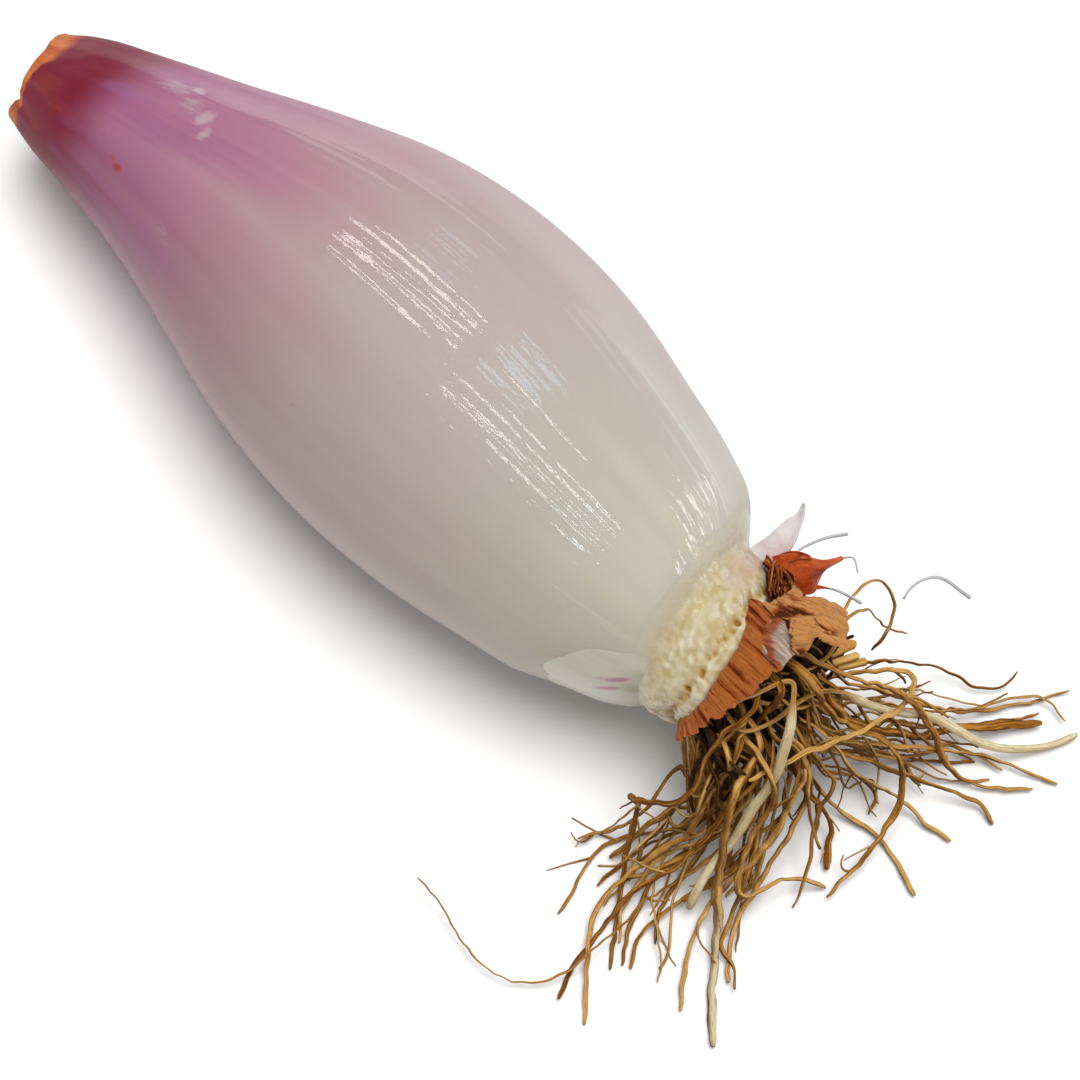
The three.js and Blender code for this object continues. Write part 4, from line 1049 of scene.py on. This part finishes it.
def root_material(name, dark, middle, light, hollow, shade=0.9):
    """Dried root: long grooves and cracks with soil in them; painted shade darkens it low in the heap, a little in
    its grooves, and on the sides turned from the light.
    """
    s = Shader(name)
    polar = s.value("polar", "Vector")
    grain = s.noise(polar, (2.6, 2.6, 2.6), 4.0, 0.7)
    cracks = s.noise(polar, (4.5, 4.5, 7.0), 3.0, 0.7)
    lines = s.noise(polar, (6.5, 6.5, 1.8), 3.0, 0.65)
    # The grooves are a little darker: painted shade in them.
    tone = s.plus(s.times(grain, 0.75), s.times(s.value("tone"), 0.22), s.times(s.value("groove"), 0.05))
    bark = s.ramp(grain, [(0.36, (96, 58, 18)), (0.5, (182, 128, 58)), (0.64, (222, 172, 102))])
    # Painted shade: the sides and undersides turned away from the light, from above and a little from +Y, are
    # darkened.
    normal = s.add("SeparateXYZ", {0: s.add("NewGeometry").outputs["Normal"]}).outputs
    facing_light = s.plus(normal[2], s.times(normal[1], 0.35))
    colour = s.layers(
        s.ramp(tone, [(0.33, dark), (0.48, middle), (0.64, light)]),
        (s.value("bleached"), (216, 200, 160)),
        (s.value("bark"), bark),
        (s.between(cracks, 0.55, 0.66, 0.0, 0.8), hollow),
        (s.between(facing_light, -0.1, 0.85, 0.85, 0.0), dark),
        # Painted shade: roots low in the heap take the hollow colour.
        (s.times(s.value("deep"), shade), hollow))
    return s.finish(colour, 0.65, s.bump(s.plus(lines, s.noise(s.place(), 2600.0)), 0.14), Specular_IOR_Level=0.1,
                    Subsurface_Weight=0.05, Subsurface_Radius=(0.0008, 0.0004, 0.0002))


# ---- Stage, camera and lamps ----

CAMERA_TURN = 44.26
CAMERA_RISE = 68.0
CAMERA_DISTANCE = 400.0
CAMERA_TARGET = np.array([18.70, -3.55, 15.0])
CAMERA_LENS = 133.0
KEY_FROM = (0.08, 0.08, 0.99)
KEY_STRENGTH = 3.0
KEY_SPREAD = 36.0
SKY = 0.3  # how bright the world is, except to the camera
FLOOR_HALF = 2.0  # metres
FLOOR_WHITE = (0.95, 0.95, 0.95, 1)
# Windows: where their reflection falls on the bulb as x and angle, how far off they are, their length along the
# bulb and their width, their radiance and colour.
WINDOWS = [
    ("window_neck", -3.4, 92, 700, (420, 95), 10.0, (1.0, 0.93, 0.89)),
    ("window_middle", 14.6, 106, 700, (420, 60), 10.0, (1.0, 0.97, 0.94)),
    ("window_end", 32.2, 69, 700, (450, 130), 8.5, (0.97, 1.0, 0.99)),
    ("sky_middle", 11.2, 87.5, 800, (185, 230), 4.6, (0.42, 0.74, 1.0)),
    ("sky_end", 25.4, 106, 800, (110, 150), 4.5, (0.42, 0.74, 1.0)),
    ("sky_neck", -2.5, 74, 800, (120, 140), 2.5, (0.4, 0.72, 1.0)),
]


def camera_place():
    turn, rise = math.radians(CAMERA_TURN), math.radians(CAMERA_RISE)
    back = np.array([math.sin(turn) * math.cos(rise), -math.cos(turn) * math.cos(rise), math.sin(rise)])
    return CAMERA_TARGET + back * CAMERA_DISTANCE


def make_camera():
    camera = placed("camera", bpy.data.cameras.new("camera"))
    camera.data.lens = CAMERA_LENS
    camera.data.clip_start = 0.01
    camera.location = camera_place() * MM
    towards = Vector((CAMERA_TARGET - camera_place()).tolist())
    camera.rotation_euler = towards.to_track_quat("-Z", "Y").to_euler()
    bpy.context.scene.camera = camera


def make_stage():
    mesh = bpy.data.meshes.new("floor")
    corners = [(x * FLOOR_HALF, y * FLOOR_HALF, 0) for x, y in ((-1, -1), (1, -1), (1, 1), (-1, 1))]
    mesh.from_pydata(corners, [], [[0, 1, 2, 3]])
    s = Shader("floor_white")
    for key, value in (("Base Color", FLOOR_WHITE), ("Roughness", 1.0), ("Specular IOR Level", 0.0)):
        s.put(value, s.surface.inputs[key])
    mesh.materials.append(s.material)
    placed("floor", mesh)


def make_world():
    """Plain light from all round, which the camera sees as white."""
    world = bpy.data.worlds.new("world")
    world.use_nodes = True
    nodes, links = world.node_tree.nodes, world.node_tree.links
    background, level = nodes["Background"], nodes.new("ShaderNodeMapRange")
    path = nodes.new("ShaderNodeLightPath")
    background.inputs["Color"].default_value = (0.97, 0.985, 1.0, 1)
    level.inputs["To Min"].default_value = SKY
    level.inputs["To Max"].default_value = 1.0
    links.new(path.outputs["Is Camera Ray"], level.inputs["Value"])
    links.new(level.outputs[0], background.inputs["Strength"])
    bpy.context.scene.world = world


def make_window(name, x, degrees, distance, size, radiance, colour):
    """An oblong lamp whose reflection falls on the bulb at x and an angle, as the camera sees it."""
    here, ahead = (about_axis(np.array(at), ring_at(at, 3), degrees) for at in (x, x + 1.0))
    beside = about_axis(np.array(x), ring_at(x, 3), degrees + 1.0)
    normal = Vector(np.cross(beside - here, ahead - here)).normalized()
    view = Vector(camera_place() - here).normalized()
    if normal.dot(view) < 0:
        normal = -normal
    out = 2 * normal.dot(view) * normal - view
    lamp = placed(name, bpy.data.lights.new(name, "AREA"))
    lamp.data.shape = "RECTANGLE"
    lamp.data.size, lamp.data.size_y = size[0] * MM, size[1] * MM
    lamp.data.energy = radiance * math.pi * size[0] * size[1] * MM * MM
    lamp.data.color = colour
    lamp.visible_diffuse = False
    lamp.location = (Vector(here) + out * distance) * MM
    right = (Vector((1, 0, 0)) - out * out.x).normalized()
    lamp.rotation_euler = Matrix((right, out.cross(right), out)).transposed().to_euler()


def make_lamps():
    for window in WINDOWS:
        make_window(*window)
    key = placed("soft_key", bpy.data.lights.new("soft_key", "SUN"))
    key.data.energy = KEY_STRENGTH
    key.data.angle = math.radians(KEY_SPREAD)
    key.data.color = (1.0, 0.99, 0.975)
    key.visible_glossy = False
    key.rotation_euler = (-Vector(KEY_FROM)).to_track_quat("-Z", "Y").to_euler()


# ---- Everything together ----

bpy.context.scene.view_settings.view_transform = "Standard"
make_camera()
make_stage()
make_world()
make_lamps()

make_bulb(bulb_material())
make_collar(collar_material())
make_remnant(remnant_material())
make_band(paper_material("skin_orange", [(0.34, (84, 28, 4)), (0.47, (142, 57, 12)), (0.61, (186, 106, 50))],
                         (78, 28, 8), stripe=5.0, sheen=0.04, fold_shade=0.4))
make_flap(paper_material("skin_ochre", [(0.34, (80, 32, 8)), (0.48, (150, 80, 28)), (0.63, (194, 134, 78))],
                         (84, 38, 12), specks=(40, 20, 14), stripe=3.4, sheen=0.06, fold_shade=1.0, grain=0.5))
make_pale_flap(paper_material("skin_pale", [(0.34, (92, 40, 16)), (0.5, (150, 72, 32)), (0.66, (186, 116, 72))],
                              (100, 54, 30), film=(158, 140, 124), stripe=2.6, roughness=0.35, sheen=0.5,
                              relief=0.2))
rust_paper = paper_material("skin_rust", [(0.36, (106, 38, 22)), (0.47, (172, 62, 20)), (0.62, (200, 98, 50))],
                            (90, 34, 20), stripe=0.7, roughness=0.35, sheen=0.5, grain=0.25, relief=0.08)
amber_paper = paper_material("skin_amber", [(0.32, (112, 60, 10)), (0.47, (182, 116, 36)), (0.62, (216, 158, 80))],
                             (84, 42, 8), stripe=2.8, sheen=0.06, fold_shade=0.8, grain=0.45)
make_blades(rust_paper, blush_material(), amber_paper)

brown_root = root_material("root_brown", (96, 52, 6), (198, 136, 54), (236, 188, 112), (18, 9, 2))
cream_root = root_material("root_cream", (196, 170, 120), (230, 216, 176), (242, 234, 208), (164, 128, 76), 0.35)
nub = root_material("root_nub", (160, 104, 34), (206, 154, 74), (228, 190, 116), (110, 70, 22), 0.2)
grey_hair = root_material("hair_grey", (196, 194, 198), (212, 210, 214), (224, 224, 227), (186, 182, 182), 0.0)
# A near-black copy of the root material: painted shade for the crowded roots at the disc.
shade_dark_root = root_material("root_core_shade", (26, 12, 3), (72, 40, 10), (126, 82, 28), (14, 7, 2), 1.0)
fibre = root_material("dry_fibre", (104, 38, 6), (186, 92, 26), (226, 142, 66), (24, 8, 2), 0.95)
lines = root_lines()
make_roots(lines, brown_root, cream_root)
filler_roots(lines, brown_root)
forked_rootlets(lines, brown_root)
core_roots(shade_dark_root)
root_nubs(nub)
make_hairs(grey_hair)
make_fibre_tuft(fibre)
